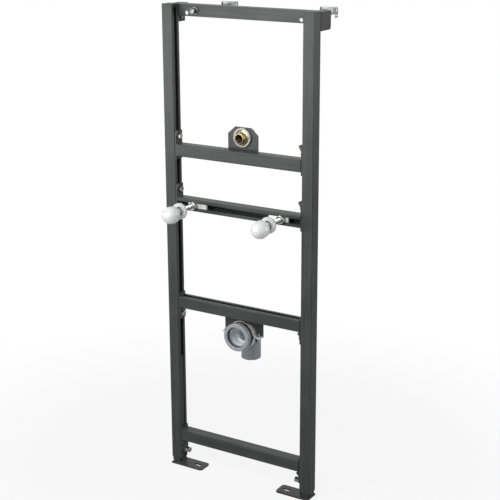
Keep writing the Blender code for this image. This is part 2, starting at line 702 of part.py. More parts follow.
def stud_collar(side, name):
    """White flanged sleeve on the stud, with a recess in its front for the cap's neck."""
    back = COLLAR_BACK_Y
    front = COLLAR_FRONT_Y
    floor = front + COLLAR_RECESS_DEPTH
    bore = STUD_RADIUS + SEAT_GAP
    shoulder = back - COLLAR_NECK_LENGTH
    profile = [
        (bore, back), (COLLAR_NECK_RADIUS, back), (COLLAR_NECK_RADIUS, shoulder),
        (COLLAR_RADIUS - COLLAR_EDGE, shoulder), (COLLAR_RADIUS, shoulder - COLLAR_EDGE),
        (COLLAR_RADIUS, front + COLLAR_EDGE), (COLLAR_RADIUS - COLLAR_EDGE, front),
        (COLLAR_RECESS_RADIUS, front), (COLLAR_RECESS_RADIUS, floor), (bore, floor),
    ]
    return turned(name, profile, "white_plastic", (side * STUD_X, 0, STUD_Z))


def stud_dome(side, name):
    """White cap over the stud's end: a neck, a cone and a rounded nose."""
    back = COLLAR_FRONT_Y + COLLAR_RECESS_DEPTH - SEAT_GAP
    bore = STUD_RADIUS + SEAT_GAP
    nose = DOME_FLARE_Y - DOME_FRONT_Y
    steps = 8
    arc = [(DOME_RADIUS * math.cos(a), DOME_FLARE_Y - nose * math.sin(a))
           for a in (math.pi / 2 * step / steps for step in range(steps))]
    stud_end = STUD_FRONT_Y - SEAT_GAP
    profile = [
        (bore, back), (DOME_NECK_RADIUS, back), (DOME_NECK_RADIUS, DOME_NECK_FRONT_Y),
        (DOME_SHOULDER_RADIUS, DOME_SHOULDER_Y), *arc, (0, DOME_FRONT_Y),
        (0, stud_end), (bore, stud_end),
    ]
    return turned(name, profile, "white_plastic", (side * STUD_X, 0, STUD_Z))


def drain_plate(name):
    """Plate behind the drain rail that carries the clamp, notched from below for the pipe."""
    half = DRAIN_PLATE_WIDTH / 2
    notch = DRAIN_BELL_RADIUS + CLAMP_LINING
    side_z = DRAIN_RAIL_Z - DRAIN_PLATE_SIDE
    low_z = side_z - DRAIN_PLATE_CHAMFER_HEIGHT
    top_z = DRAIN_RAIL_Z + CHANNEL_FACE - PLATE_INSET
    inner = half - DRAIN_PLATE_CHAMFER
    body = [Vector(point) for point in (
        (-half, top_z), (-half, side_z), (-inner, low_z), (inner, low_z), (half, side_z),
        (half, top_z))]
    middle = place(X_AXIS, Z_AXIS, (0, PLATE_FRONT_Y + PLATE_STEEL / 2, 0))
    obj = add_part(name, flat_mesh([body], PLATE_STEEL), "dark_steel", middle)
    arch = circle(notch, 0, DRAIN_Z, BAND_STEPS)[:BAND_STEPS // 2 + 1]
    gap = [*arch, Vector((-notch, low_z - OVERCUT)), Vector((notch, low_z - OVERCUT))]
    cutter = add_cutter(name + "_notch", flat_mesh([gap], OVERCUT), middle)
    boolean(obj, cutter, "DIFFERENCE")
    return obj


def drain_path():
    """Centre line of the elbow from the mouth to the spigot's end, with the bore's size."""
    bend = DRAIN_BEND_RADIUS
    ratio = DRAIN_BELL_RADIUS / DRAIN_PIPE_RADIUS
    start = DRAIN_MOUTH_Y + DRAIN_NUT_LENGTH + SEAT_GAP
    taper = DRAIN_BELL_TAPER
    path = [((start, DRAIN_Z), ratio), ((DRAIN_BELL_BACK_Y - taper, DRAIN_Z), ratio),
            ((DRAIN_BELL_BACK_Y - taper / 3, DRAIN_Z), (1 + ratio) / 2)]
    centre_y = DRAIN_SPIGOT_Y - bend
    centre_z = DRAIN_Z - bend
    steps = 8
    for step in range(1, steps + 1):
        a = math.pi / 2 * (1 - step / steps)
        path.append(((centre_y + bend * math.cos(a), centre_z + bend * math.sin(a)), 1))
    path.append(((DRAIN_SPIGOT_Y, DRAIN_Z - DRAIN_SPIGOT_DROP), 1))
    return path


def drain_elbow(name):
    """Elbow of grey plastic: a bell to the front and a plain spigot downwards."""
    curve = bpy.data.curves.new("bore", "CURVE")
    curve.dimensions = "3D"
    curve.bevel_depth = DRAIN_PIPE_RADIUS
    curve.bevel_resolution = ROUND_STEPS // 2 - 2
    path = drain_path()
    spline = curve.splines.new("POLY")
    spline.points.add(len(path) - 1)
    for point, ((y, z), scale) in zip(spline.points, path):
        point.co = (0, y, z, 1)
        point.radius = scale
    obj = add_part(name, mesh_from_curve(curve), "grey_plastic")
    wall = obj.modifiers.new("wall", "SOLIDIFY")
    wall.thickness = DRAIN_PIPE_WALL
    wall.offset = -1
    wall.use_even_offset = True
    return obj


def drain_nut(name):
    """Round nut in front of the bell, with a lead-in at its mouth."""
    front = DRAIN_MOUTH_Y
    back = front + DRAIN_NUT_LENGTH
    outer = DRAIN_NUT_RADIUS
    bore = DRAIN_NUT_BORE
    edge = DRAIN_NUT_EDGE
    lead_in = DRAIN_NUT_LEAD_IN
    profile = [
        (outer - edge, back), (outer, back - edge), (outer, front + edge), (outer - edge, front),
        (bore + lead_in, front), (bore, front + lead_in), (bore, back),
    ]
    return turned(name, profile, "grey_plastic", (0, 0, DRAIN_Z))


def drain_seal(name):
    """Black lip seal inside the nut."""
    outer = DRAIN_NUT_BORE - SEAT_GAP
    inner = outer - DRAIN_SEAL_WIDTH
    front = DRAIN_MOUTH_Y + DRAIN_SEAL_INSET
    back = DRAIN_MOUTH_Y + DRAIN_NUT_LENGTH
    profile = [(outer, back), (outer, front), (outer - DRAIN_SEAL_LIP, front),
               (inner, front + DRAIN_SEAL_INSET), (inner, back)]
    return turned(name, profile, "black_rubber", (0, 0, DRAIN_Z))


def clamp_lining(name):
    """Rubber lining between the bell and the pipe clamp."""
    inner = DRAIN_BELL_RADIUS + SEAT_GAP
    outer = inner + CLAMP_LINING
    back = CLAMP_BACK_Y
    front = CLAMP_FRONT_Y - CLAMP_LINING_PROUD
    profile = [(outer, back), (outer, front), (inner, front), (inner, back)]
    return turned(name, profile, "black_rubber", (0, 0, DRAIN_Z))


def pipe_clamp(name):
    """Zinc band round the lining, with an ear at each side."""
    inner = DRAIN_BELL_RADIUS + CLAMP_LINING + 2 * SEAT_GAP
    outer = inner + CLAMP_STEEL
    steps = BAND_STEPS
    half_ear = CLAMP_EAR_STEEL / 2
    points = []
    for side in (1, -1):
        lift = math.asin(half_ear / outer)
        start = lift if side > 0 else math.pi + lift
        for step in range(steps // 2 + 1):
            a = start + (math.pi - 2 * lift) * step / (steps // 2)
            points.append(Vector((outer * math.cos(a), outer * math.sin(a))))
        reach = -side * (outer + CLAMP_EAR_LENGTH)
        points.append(Vector((reach, side * half_ear)))
        points.append(Vector((reach, -side * half_ear)))
    mesh = flat_mesh([points, circle(inner, steps=steps)], CLAMP_WIDTH)
    return add_part(name, mesh, "zinc", along_y(0, CLAMP_FRONT_Y + CLAMP_WIDTH / 2, DRAIN_Z))


def build():
    """Model every piece of the frame."""
    for side, hand in ((-1, "left"), (1, "right")):
        upright(side, f"upright_{hand}")
        upright_cap(side, f"upright_cap_{hand}")
        foot(side, f"foot_{hand}")
        rail_bracket(side, f"supply_rail_bracket_{hand}", SUPPLY_RAIL_Z, True)
        rail_bracket(side, f"stud_rail_bracket_{hand}", STUD_RAIL_Z, True)
        rail_bracket(side, f"drain_rail_bracket_{hand}", DRAIN_RAIL_Z, False)
        rail_bracket(side, f"bottom_rail_bracket_{hand}", BOTTOM_RAIL_Z, False)
        wall_bracket(side, f"wall_bracket_{hand}")
        wall_anchor(side, f"wall_anchor_{hand}")
        stud(side, f"stud_{hand}")
        stud_nut(side, f"stud_nut_{hand}")
        slide_nut(side, f"slide_nut_{hand}")
        stud_collar(side, f"stud_collar_{hand}")
        stud_dome(side, f"stud_dome_{hand}")
    top_rail("top_rail")
    rail("supply_rail", SUPPLY_RAIL_Z, "underside")
    rail("stud_rail", STUD_RAIL_Z, "front")
    rail("drain_rail", DRAIN_RAIL_Z, "top")
    rail("bottom_rail", BOTTOM_RAIL_Z, "underside")
    supply_plate("supply_plate")
    supply_ring("supply_ring")
    supply_nozzle("supply_nozzle")
    drain_plate("drain_plate")
    drain_elbow("drain_elbow")
    drain_nut("drain_nut")
    drain_seal("drain_seal")
    clamp_lining("clamp_lining")
    pipe_clamp("pipe_clamp")


build()
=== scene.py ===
# %% [markdown]
# # Dressing a urinal installation frame
#
# The object is a steel frame that stands inside a light wall and carries a wall-hung urinal.
# Its solids come packed from the CAD model. This script gives each one a finish, and it makes
# finer pieces for what a plain solid can't show, such as threads, weld beads and folded brackets.

import math

import bmesh
import bpy
from mathutils import Matrix, Vector


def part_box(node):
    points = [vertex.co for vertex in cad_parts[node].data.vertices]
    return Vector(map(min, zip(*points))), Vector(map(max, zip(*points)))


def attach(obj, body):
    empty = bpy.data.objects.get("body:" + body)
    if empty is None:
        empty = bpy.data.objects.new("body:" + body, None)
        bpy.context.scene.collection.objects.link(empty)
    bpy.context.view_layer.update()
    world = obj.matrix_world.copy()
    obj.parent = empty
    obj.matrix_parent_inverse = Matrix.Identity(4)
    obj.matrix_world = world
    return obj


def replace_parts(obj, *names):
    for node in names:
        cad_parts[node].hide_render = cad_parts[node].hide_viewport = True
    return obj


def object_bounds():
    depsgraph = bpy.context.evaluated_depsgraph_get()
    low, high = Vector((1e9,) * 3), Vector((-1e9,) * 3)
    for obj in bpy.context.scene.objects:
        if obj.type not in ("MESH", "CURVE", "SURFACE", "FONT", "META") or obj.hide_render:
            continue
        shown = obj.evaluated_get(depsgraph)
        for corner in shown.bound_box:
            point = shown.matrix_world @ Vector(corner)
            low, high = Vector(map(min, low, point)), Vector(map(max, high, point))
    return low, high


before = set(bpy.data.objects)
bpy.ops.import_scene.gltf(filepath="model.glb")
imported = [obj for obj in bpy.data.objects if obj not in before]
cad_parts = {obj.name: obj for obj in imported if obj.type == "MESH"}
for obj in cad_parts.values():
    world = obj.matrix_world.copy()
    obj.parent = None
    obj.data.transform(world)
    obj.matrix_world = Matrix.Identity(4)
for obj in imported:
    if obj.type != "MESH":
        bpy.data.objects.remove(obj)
cad_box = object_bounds()
print("solids:", len(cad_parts))

# %% [markdown]
# ## Places that the solids give
#
# A fitter measures from the frame itself. Reading the middle between the uprights and the front
# faces from the solids keeps every added piece where it belongs when a size changes.

# %% Measure the frame
X_AXIS = Vector((1, 0, 0))
Y_AXIS = Vector((0, 1, 0))
Z_AXIS = Vector((0, 0, 1))
HANDS = {"left": -1, "right": 1}

left_low, left_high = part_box("upright_left")
right_low, right_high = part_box("upright_right")
mid_x = (left_low.x + right_high.x) / 2
front_y = left_low.y
rail_mid_y = (left_low.y + left_high.y) / 2


def middle(node):
    """Middle of a solid's box."""
    low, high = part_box(node)
    return (low + high) / 2


print("width between outer faces:", round(right_high.x - left_low.x, 4))

# %% [markdown]
# ## Shader sums as plain expressions
#
# A finish is a small calculation that runs at each point of a surface. One class wraps a socket
# and lets Python's operators add the Math nodes. Vectors go through Vector Math, because a Math
# node would keep only one number of them.

# %% A socket that takes part in sums
class Wire:
    """An output socket of a node tree, used like a number or a vector."""

    def __init__(self, tree, socket):
        self.tree = tree
        self.socket = socket

    def out(self, name):
        """Another output of the same node."""
        return Wire(self.tree, self.socket.node.outputs[name])

    def _sum(self, operation, first, second):
        flat = all(not isinstance(v, (tuple, Vector)) and not is_vector(v) for v in (first, second))
        kind = "ShaderNodeMath" if flat else "ShaderNodeVectorMath"
        return self.tree.node(kind, {"operation": operation}, first, second)

    def __add__(self, other):
        return self._sum("ADD", self, other)

    def __radd__(self, other):
        return self._sum("ADD", other, self)

    def __sub__(self, other):
        return self._sum("SUBTRACT", self, other)

    def __rsub__(self, other):
        return self._sum("SUBTRACT", other, self)

    def __mul__(self, other):
        return self._sum("MULTIPLY", self, other)

    def __rmul__(self, other):
        return self._sum("MULTIPLY", other, self)


def is_vector(value):
    """Whether a value is a socket that carries a vector."""
    return isinstance(value, Wire) and value.socket.type == "VECTOR"


# %% [markdown]
# ## A finish
#
# Each finish is one Principled shader, and one method adds any node. All patterns are read in the
# object's own coordinates, where one unit is one metre, so a scale of 800 gives a grain of about
# a millimetre.

# %% The finish class
COLOUR_INPUTS = (6, 7)
COLOUR_OUTPUT = 2


class Tree:
    """A node tree, with one method that adds any node."""

    def __init__(self, nodes):
        self.nodes = nodes

    def node(self, kind, settings, *values, **named):
        """Add a node, set it up, and give its sockets values or links."""
        node = self.nodes.nodes.new(kind)
        for key, value in settings.items():
            setattr(node, key, value)
        for socket, value in zip(node.inputs, values):
            self.join(socket, value)
        for key, value in named.items():
            self.join(node.inputs[key], value)
        return Wire(self, node.outputs[0])

    def join(self, socket, value):
        """Link a wire to a socket, or set the socket's value."""
        if isinstance(value, Wire):
            self.nodes.links.new(value.socket, socket)
        elif socket.type == "RGBA":
            socket.default_value = (*value, 1)
        else:
            socket.default_value = value

    def ramp(self, wire, low, high, bottom=0.0, top=1.0):
        """Stretch a pattern between two levels."""
        return self.node("ShaderNodeMapRange", {"interpolation_type": "SMOOTHSTEP"}, wire,
                         low, high, bottom, top)


class Finish(Tree):
    """One procedural finish: a Principled shader and what feeds it."""

    def __init__(self, name, slot, fixed=()):
        self.material = bpy.data.materials.new(name)
        self.material.use_nodes = True
        super().__init__(self.material.node_tree)
        self.slot = slot
        self.shader = self.nodes.nodes["Principled BSDF"]
        for socket, value in dict(fixed).items():
            self.feed(socket, value)
        self.place = self.node("ShaderNodeTexCoord", {}).out("Object")

    def feed(self, name, value):
        """Set or link one of the shader's sockets."""
        self.join(self.shader.inputs[name], value)

    def noise(self, scale, detail=3.0, stretch=(1, 1, 1)):
        """Soft random pattern from 0 to 1, with cells of one over the scale in metres."""
        place = self.place * stretch if stretch != (1, 1, 1) else self.place
        return self.node("ShaderNodeTexNoise", {}, Vector=place, Scale=scale, Detail=detail)

    def blend(self, first, second, mask):
        """Mix two colours by a mask."""
        mix = self.node("ShaderNodeMix", {"data_type": "RGBA"}, mask).socket.node
        for place, colour in zip(COLOUR_INPUTS, (first, second)):
            self.join(mix.inputs[place], colour)
        return Wire(self, mix.outputs[COLOUR_OUTPUT])

    def bump(self, height, distance):
        """Let a pattern of heights, in parts of a distance in metres, tilt the surface."""
        self.feed("Normal", self.node("ShaderNodeBump", {}, Height=height, Distance=distance,
                                      Strength=1.0))


print("colour inputs of a Mix node:", COLOUR_INPUTS)

# %% [markdown]
# ## Powder coat on rolled steel
#
# Powder melts into a satin anthracite skin with a faint orange peel, about a millimetre from
# crest to crest, over the long streaks that the rolls leave in the strip. Both are too low to
# model, so they are a bump and a slight change of tone. The streaks follow the strip, which is
# why the uprights and the rails get a finish each.

# %% Powder coat
ANTHRACITE = (0.038, 0.04, 0.039)
ANTHRACITE_PALE = (0.054, 0.057, 0.055)
COAT_GLOSS = 0.24
COAT_ROUGHNESS = (0.37, 0.45)
STREAK_SCALE = 260
PEEL_SCALE = 780
PEEL_HEIGHT = 0.00008


def powder_coat(name, stretch, shade=1.0):
    """Satin powder coat over strip whose roll marks run where the stretch is small."""
    coat = Finish(name, "dark_steel", {"Specular IOR Level": COAT_GLOSS})
    streaks = coat.noise(STREAK_SCALE, 2.0, stretch)
    clouds = coat.noise(14)
    tone = coat.ramp(streaks * 0.6 + clouds * 0.4, 0.36, 0.64)
    dark, pale = ([shade * level for level in tint] for tint in (ANTHRACITE, ANTHRACITE_PALE))
    coat.feed("Base Color", coat.blend(dark, pale, tone))
    peel = coat.noise(PEEL_SCALE, 1.5)
    coat.feed("Roughness", coat.ramp(1 - peel, 0.3, 0.7, *COAT_ROUGHNESS))
    coat.bump(peel * 0.7 + streaks * 0.3, PEEL_HEIGHT)
    return coat


upright_coat = powder_coat("powder_coat_upright", (1, 1, 0.02))
rail_coat = powder_coat("powder_coat_rail", (0.02, 1, 1))
plate_coat = powder_coat("powder_coat_plate", (1, 1, 1))
angle_coat = powder_coat("powder_coat_angle", (1, 1, 1), shade=0.5)
print("powder coats:", 4)

# %% [markdown]
# ## Bright zinc
#
# Bolts, nuts, washers and the wall anchors are zinc plated, with a slightly cloudy, bluish skin.
# The marks of rolling run along the anchors' straps. The slide nuts and the clamp keep a paler,
# flatter skin. The bolts of the top rail get a much darker copy of the zinc, which is painted shade
# for where the uprights shade them.

# %% Zinc
ZINC_COOL = (0.24, 0.25, 0.255)
ZINC_WARM = (0.56, 0.55, 0.53)
ZINC_PAINTED_SHADE = (0.07, 0.075, 0.08)
STRAP_COOL = (0.20, 0.205, 0.21)
STRAP_WARM = (0.40, 0.40, 0.39)
PALE_COOL = (0.74, 0.755, 0.76)
PALE_WARM = (0.86, 0.86, 0.845)
MARK_HEIGHT = 0.00004


def zinc(name, cool, warm, metal, smooth, dull, stretch=(1, 1, 1)):
    """Zinc plating with a cloudy skin, whose roughness lies between smooth and dull."""
    skin = Finish(name, "zinc", {"Metallic": metal})
    clouds = skin.noise(130, 4.0)
    marks = skin.noise(900, 2.0, stretch)
    skin.feed("Base Color", skin.blend(cool, warm, skin.ramp(clouds, 0.35, 0.65)))
    skin.feed("Roughness", skin.ramp(clouds * 0.6 + marks * 0.4, 0.35, 0.65, smooth, dull))
    skin.bump(marks, MARK_HEIGHT)
    return skin


bolt_zinc = zinc("bolt_zinc", ZINC_COOL, ZINC_WARM, 1.0, 0.17, 0.34)
strap_zinc = zinc("strap_zinc", STRAP_COOL, STRAP_WARM, 0.7, 0.28, 0.46, (1, 0.05, 1))
pale_zinc = zinc("pale_zinc", PALE_COOL, PALE_WARM, 0.35, 0.30, 0.45)
# dark copy of the zinc: painted shade for the bolts that sit in the uprights' shade
zinc_painted_shade = zinc("zinc_painted_shade", ZINC_PAINTED_SHADE, ZINC_COOL, 0.7, 0.25, 0.45)
print("zinc finishes:", 4)

# %% [markdown]
# ## Plastics and rubber
#
# The caps and sleeves on the studs are white mouldings. Light enters this milky plastic and evens
# out its shading, which is what the subsurface share does. The elbow is the blue-grey plastic of
# waste pipes. Rubber is nearly black and scatters what little it reflects.

# %% Plastics and rubber
FINE_GRAIN = 0.00003
COARSE_GRAIN = 0.00008
MILKY = {"Subsurface Weight": 0.8, "Subsurface Scale": 0.06, "Subsurface Radius": (1, 1, 1)}


def plastic(name, slot, colour, pale, roughness, grain=FINE_GRAIN, fixed=()):
    """Moulded plastic: two near tones, a sheen that varies a little, and a fine grain."""
    skin = Finish(name, slot, fixed)
    clouds = skin.noise(45)
    grains = skin.noise(1500, 2.0)
    skin.feed("Base Color", skin.blend(colour, pale, skin.ramp(clouds, 0.3, 0.7)))
    skin.feed("Roughness", skin.ramp(clouds * 0.5 + grains * 0.5, 0.3, 0.7,
                                     roughness - 0.05, roughness + 0.06))
    skin.bump(grains, grain)
    return skin


white_moulding = plastic("white_moulding", "white_plastic", (0.59, 0.60, 0.60),
                         (0.66, 0.665, 0.66), 0.34, fixed=MILKY)
pipe_grey = plastic("pipe_grey", "grey_plastic", (0.25, 0.27, 0.295), (0.31, 0.33, 0.355), 0.38)
# pale grey far above the pipe's own: painted light for the inside of the bell
pipe_inside_painted_light = plastic("pipe_inside_painted_light", "grey_plastic", (0.72, 0.76, 0.80), (0.80, 0.84, 0.88), 0.26)
cap_black = plastic("cap_black", "black_plastic", (0.014, 0.015, 0.015),
                    (0.022, 0.023, 0.023), 0.52, COARSE_GRAIN)
rubber = plastic("rubber", "black_rubber", (0.01, 0.01, 0.011), (0.02, 0.02, 0.021),
                 0.66, COARSE_GRAIN)
print("plastics and rubber:", 5)

# %% [markdown]
# ## Brass
#
# The water socket is turned brass with fine rings from the tool, dulled to a dark gold. The thread
# in its bore gets a near-black copy of the brass, which is painted shade for the deep bore.

# %% Brass
BRASS = (0.36, 0.295, 0.165)
BRASS_DARK = (0.15, 0.12, 0.07)
BORE_PAINTED_SHADE = (0.05, 0.04, 0.03)
BORE_PAINTED_SHADE_DARK = (0.012, 0.01, 0.009)
TOOL_MARK_HEIGHT = 0.00003


def turned_brass(name, bright, dark, smooth):
    """Brass from the lathe, with tarnish in clouds and rings from the tool."""
    skin = Finish(name, "brass", {"Metallic": 1.0})
    tarnish = skin.ramp(skin.noise(160, 4.0), 0.45, 0.75, 0.0, 0.7)
    skin.feed("Base Color", skin.blend(bright, dark, tarnish))
    skin.feed("Roughness", tarnish * 0.25 + smooth)
    skin.bump(skin.noise(2200, 1.0, (0.05, 1, 0.05)), TOOL_MARK_HEIGHT)
    return skin


socket_brass = turned_brass("socket_brass", BRASS, BRASS_DARK, 0.30)
# near-black copy of the brass: painted shade inside the bore
bore_brass_painted_shade = turned_brass("bore_brass_painted_shade", BORE_PAINTED_SHADE, BORE_PAINTED_SHADE_DARK, 0.45)
print("brass finishes:", 2)

# %% [markdown]
# ## Putting finishes on the solids
#
# A solid whose shape is right stays as it is and only gets a better material in its slot. The
# first word below that its name contains decides which.

# %% Finish the solids
FINISH_BY_WORD = {
    "upright_cap": cap_black, "upright": upright_coat, "wall_bracket": angle_coat,
    "bracket": plate_coat, "foot": plate_coat, "plate": plate_coat, "rail": rail_coat,
    "anchor": strap_zinc, "slide_nut": pale_zinc, "collar": white_moulding,
    "dome": white_moulding, "ring": white_moulding, "nozzle": socket_brass,
    "elbow": pipe_grey, "drain_nut": pipe_grey, "seal": rubber, "lining": rubber,
    "stud": bolt_zinc, "clamp": bolt_zinc,
}

for node_name, node_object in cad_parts.items():
    finish = next(made for word, made in FINISH_BY_WORD.items() if word in node_name)
    node_object.data.materials.clear()
    node_object.data.materials.append(finish.material)
print("solids finished:", len(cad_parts))

# %% [markdown]
# ## Tools for the finer pieces
#
# One builder stacks rings whose outline may change with height, which gives turned parts,
# hexagons with chamfered corners and helical threads from the same few lines. Each piece keeps
# its shape in the frame's own coordinates, so that its material lines up with the solids.

# %% Piece builder
ROUND = 72
QUARTER = [math.pi / 12 * k for k in range(7)]
WELD_DISTANCE = 1e-6


def add_piece(name, vertices, faces, finish, smooth_angle=38):
    """Make a mesh object in the frame's coordinates that rides with the frame."""
    mesh = bpy.data.meshes.new(name)
    mesh.from_pydata(vertices, [], faces)
    mesh.materials.append(finish.material)
    tidy = bmesh.new()
    tidy.from_mesh(mesh)
    bmesh.ops.remove_doubles(tidy, verts=tidy.verts, dist=WELD_DISTANCE)
    bmesh.ops.recalc_face_normals(tidy, faces=tidy.faces)
    tidy.to_mesh(mesh)
    tidy.free()
    mesh.shade_smooth()
    mesh.set_sharp_from_angle(angle=math.radians(smooth_angle))
    piece = bpy.data.objects.new(name, mesh)
    bpy.context.scene.collection.objects.link(piece)
    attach(piece, "root")
    return piece


def ring_faces(rings, steps, closed):
    """Quads between rings of points, and between the last and the first where closed."""
    faces = []
    for ring in range(rings if closed else rings - 1):
        below = ring * steps
        above = (ring + 1) % rings * steps
        for step in range(steps):
            after = (step + 1) % steps
            faces.append((below + step, below + after, above + after, above + step))
    return faces


def stack(name, rings, steps, finish, axis, at, closed=True, smooth_angle=38):
    """Piece of rings that rise along an axis from a place.

    A ring is a (radius, height) or a function of the turn that gives both.
    """
    turned = Vector(axis).to_track_quat("Z", "Y").to_matrix().to_4x4()
    matrix = Matrix.Translation(Vector(at)) @ turned
    vertices = []
    for ring in rings:
        for step in range(steps):
            turn = 2 * math.pi * step / steps
            radius, height = ring(turn) if callable(ring) else ring
            vertices.append(matrix @ Vector((radius * math.cos(turn), radius * math.sin(turn),
                                             height)))
    return add_piece(name, vertices, ring_faces(len(rings), steps, closed), finish, smooth_angle)


def lower_rim(radius, height, edge):
    """Points that round the lower rim of a turned piece."""
    return [(radius - edge * (1 - math.sin(a)), height + edge * (1 - math.cos(a)))
            for a in QUARTER]


def upper_rim(radius, height, edge):
    """Points that round the upper rim of a turned piece."""
    return [(radius - edge * (1 - math.cos(a)), height - edge * (1 - math.sin(a)))
            for a in QUARTER]


print("steps of a round:", ROUND)

# %% [markdown]
# ## Nuts, washers, threads and bolt heads
#
# A hexagon nut is cut from bar and chamfered by a cone, which leaves a curved edge at each corner.
# The curves come by themselves when the edge's height drops with the hexagon's distance from its
# axis. A thread is a ring whose radius waves with its height and its turn.

# %% Hexagons, washers and threads
CHAMFER_SLOPE = math.tan(math.radians(30))
FLAT_SHARE = 0.95
BORE_LEAD = 0.0008
HEAD_DISH = 0.0006
WASHER_STEPS = 48
ROWS_PER_TURN = 6


def hexagon_radius(turn, width):
    """Distance from the axis to the side of a hexagon of a width across its flats."""
    sector = (turn + math.pi / 6) % (math.pi / 3) - math.pi / 6
    return width / 2 / math.cos(sector)


def hexagon_rings(width, height, bore):
    """Rings of a chamfered hexagon with a bore: inside, lower face, flats, upper face."""
    flat = width / 2 * FLAT_SHARE

    def edge(level, inward):
        def ring(turn):
            radius = hexagon_radius(turn, width)
            return radius, level + inward * (radius - flat) * CHAMFER_SLOPE
        return ring

    lead = min(BORE_LEAD, bore * 0.2)
    return [(bore, height - lead), (bore, lead), (bore + lead, 0), (flat, 0),
            edge(0, 1), edge(height, -1), (flat, height), (bore + lead, height)]


def hexagon_nut(name, width, thickness, bore, axis, at, finish):
    """Nut that starts at a place and rises along an axis."""
    return stack(name, hexagon_rings(width, thickness, bore), ROUND, finish, axis, at,
                 smooth_angle=24)


def washer(name, radius, thickness, bore, axis, at, finish):
    """Flat washer with lightly rounded rims."""
    edge = thickness * 0.25
    rings = [(bore, thickness), (bore, 0), (radius - edge, 0), (radius, edge),
             (radius, thickness - edge), (radius - edge, thickness)]
    return stack(name, rings, WASHER_STEPS, finish, axis, at)


def hexagon_bolt(name, width, height, shank, reach, axis, at, finish):
    """Bolt head on a surface, with the shank that goes through it."""
    flat = width / 2 * FLAT_SHARE
    dish = height - HEAD_DISH
    shell = [(0, -reach), (shank, -reach), (shank, 0)] + hexagon_rings(width, height, shank)[3:7]
    crown = [(flat * 0.8, height), (flat * 0.72, dish), (0, dish)]
    return stack(name, shell + crown, ROUND, finish, axis, at, closed=False, smooth_angle=24)


def washer_and_bolt(names, plate, bolt, axis, seat, finish):
    """Washer of a radius and thickness on a seat, and a bolt on it.

    A bolt is its width across flats, its head's height, its shank's radius and its reach.
    """
    radius, thickness = plate
    washer(names[0], radius, thickness, bolt[2], axis, seat, finish)
    hexagon_bolt(names[1], *bolt, axis, seat + axis * thickness, finish)


def thread_wave(pitch, height, turn):
    """Depth of a rounded helical groove at a height and turn, from 0 to 1."""
    phase = (height / pitch - turn / (2 * math.pi)) % 1
    return min(1, max(0, 1.3 * abs(2 * phase - 1) - 0.15))


def outer_thread(radius, depth, pitch, height, limit):
    """Ring of an outer thread that stays inside a limit, as at a chamfered end."""
    def ring(turn):
        return min(limit, radius - depth * thread_wave(pitch, height, turn)), height
    return ring


def threaded_rod(name, radius, length, pitch, axis, at, finish):
    """Rod with a helical thread and chamfered ends."""
    depth = 0.6 * pitch
    rows = int(length / pitch * ROWS_PER_TURN)
    rings = [(0, 0)]
    for row in range(rows + 1):
        height = length * row / rows
        limit = radius - max(0, depth - min(height, length - height))
        rings.append(outer_thread(radius, depth, pitch, height, limit))
    rings.append((0, length))
    return stack(name, rings, 32, finish, axis, at, closed=False, smooth_angle=60)


print("hexagon corner over flat:", round(hexagon_radius(math.pi / 6, 1) * 2, 4))

# %% [markdown]
# ## Sheet parts
#
# Brackets, straps and rails are flat strip that is cut and folded. Each flat is an outline swept
# along a straight line, and several make one folded part. Holes are boolean cuts.

# %% Folded sheet
def folded(name, flats, finish):
    """Piece of flats, each an outline of corners and the straight line that it is swept along."""
    vertices = []
    faces = []
    for outline, lift in flats:
        first = len(vertices)
        count = len(outline)
        vertices += [Vector(corner) for corner in outline]
        vertices += [Vector(corner) + lift for corner in outline]
        faces.append(tuple(range(first, first + count)))
        faces.append(tuple(range(first + count, first + 2 * count)))
        for k in range(count):
            after = (k + 1) % count
            faces.append((first + k, first + after, first + count + after, first + count + k))
    return add_piece(name, vertices, faces, finish, smooth_angle=30)


def level_outline(x0, y0, x1, y1, z):
    """Rectangle at a height."""
    return [(x0, y0, z), (x1, y0, z), (x1, y1, z), (x0, y1, z)]


def bent(corner, towards, away, reach):
    """Three points that round a corner between its two sides."""
    corner = Vector(corner)
    return [corner + towards * reach, corner + (towards + away) * (0.3 * reach),
            corner + away * reach]


def upright_plate(x, low_y, high_y, foot_z, end_z, corner):
    """Outline of a plate that stands across X, with its two far corners rounded."""
    up = 1 if end_z > foot_z else -1
    near = [(low_y + corner * (1 - math.cos(a)), end_z - up * corner * (1 - math.sin(a)))
            for a in QUARTER]
    far = [(high_y - corner * (1 - math.sin(a)), end_z - up * corner * (1 - math.cos(a)))
           for a in QUARTER]
    return [(x, y, z) for y, z in [(low_y, foot_z)] + near + far + [(high_y, foot_z)]]


def drill(piece, place, radius, depth, steps, rotation=(0, 0, 0), stretch=0.0):
    """Bore a round hole through a piece, or a slot by stretching the hole along X."""
    bpy.ops.mesh.primitive_cylinder_add(vertices=steps, radius=radius, depth=depth,
                                        location=place, rotation=rotation)
    cutter = bpy.context.object
    for vertex in cutter.data.vertices:
        vertex.co.x += math.copysign(stretch / 2, vertex.co.x)
    cut = piece.modifiers.new("hole", "BOOLEAN")
    cut.object = cutter
    ready = piece.evaluated_get(bpy.context.evaluated_depsgraph_get())
    piece.data = bpy.data.meshes.new_from_object(ready)
    piece.modifiers.clear()
    bpy.data.objects.remove(cutter)


print("sheet builders ready")

# %% [markdown]
# ## Brackets and bolts at the ends of the rails
#
# Each rail ends in a folded bracket that is bolted to the upright: above the rail on the two
# upper rails, below it on the two lower ones. A narrow lip above the bolt, stiffened by a
# triangle of sheet, keeps the plate flat. The lowest brackets share their bolt with the foot, so
# it sits lower and stands further out. A table holds what differs, and one helper makes all eight.

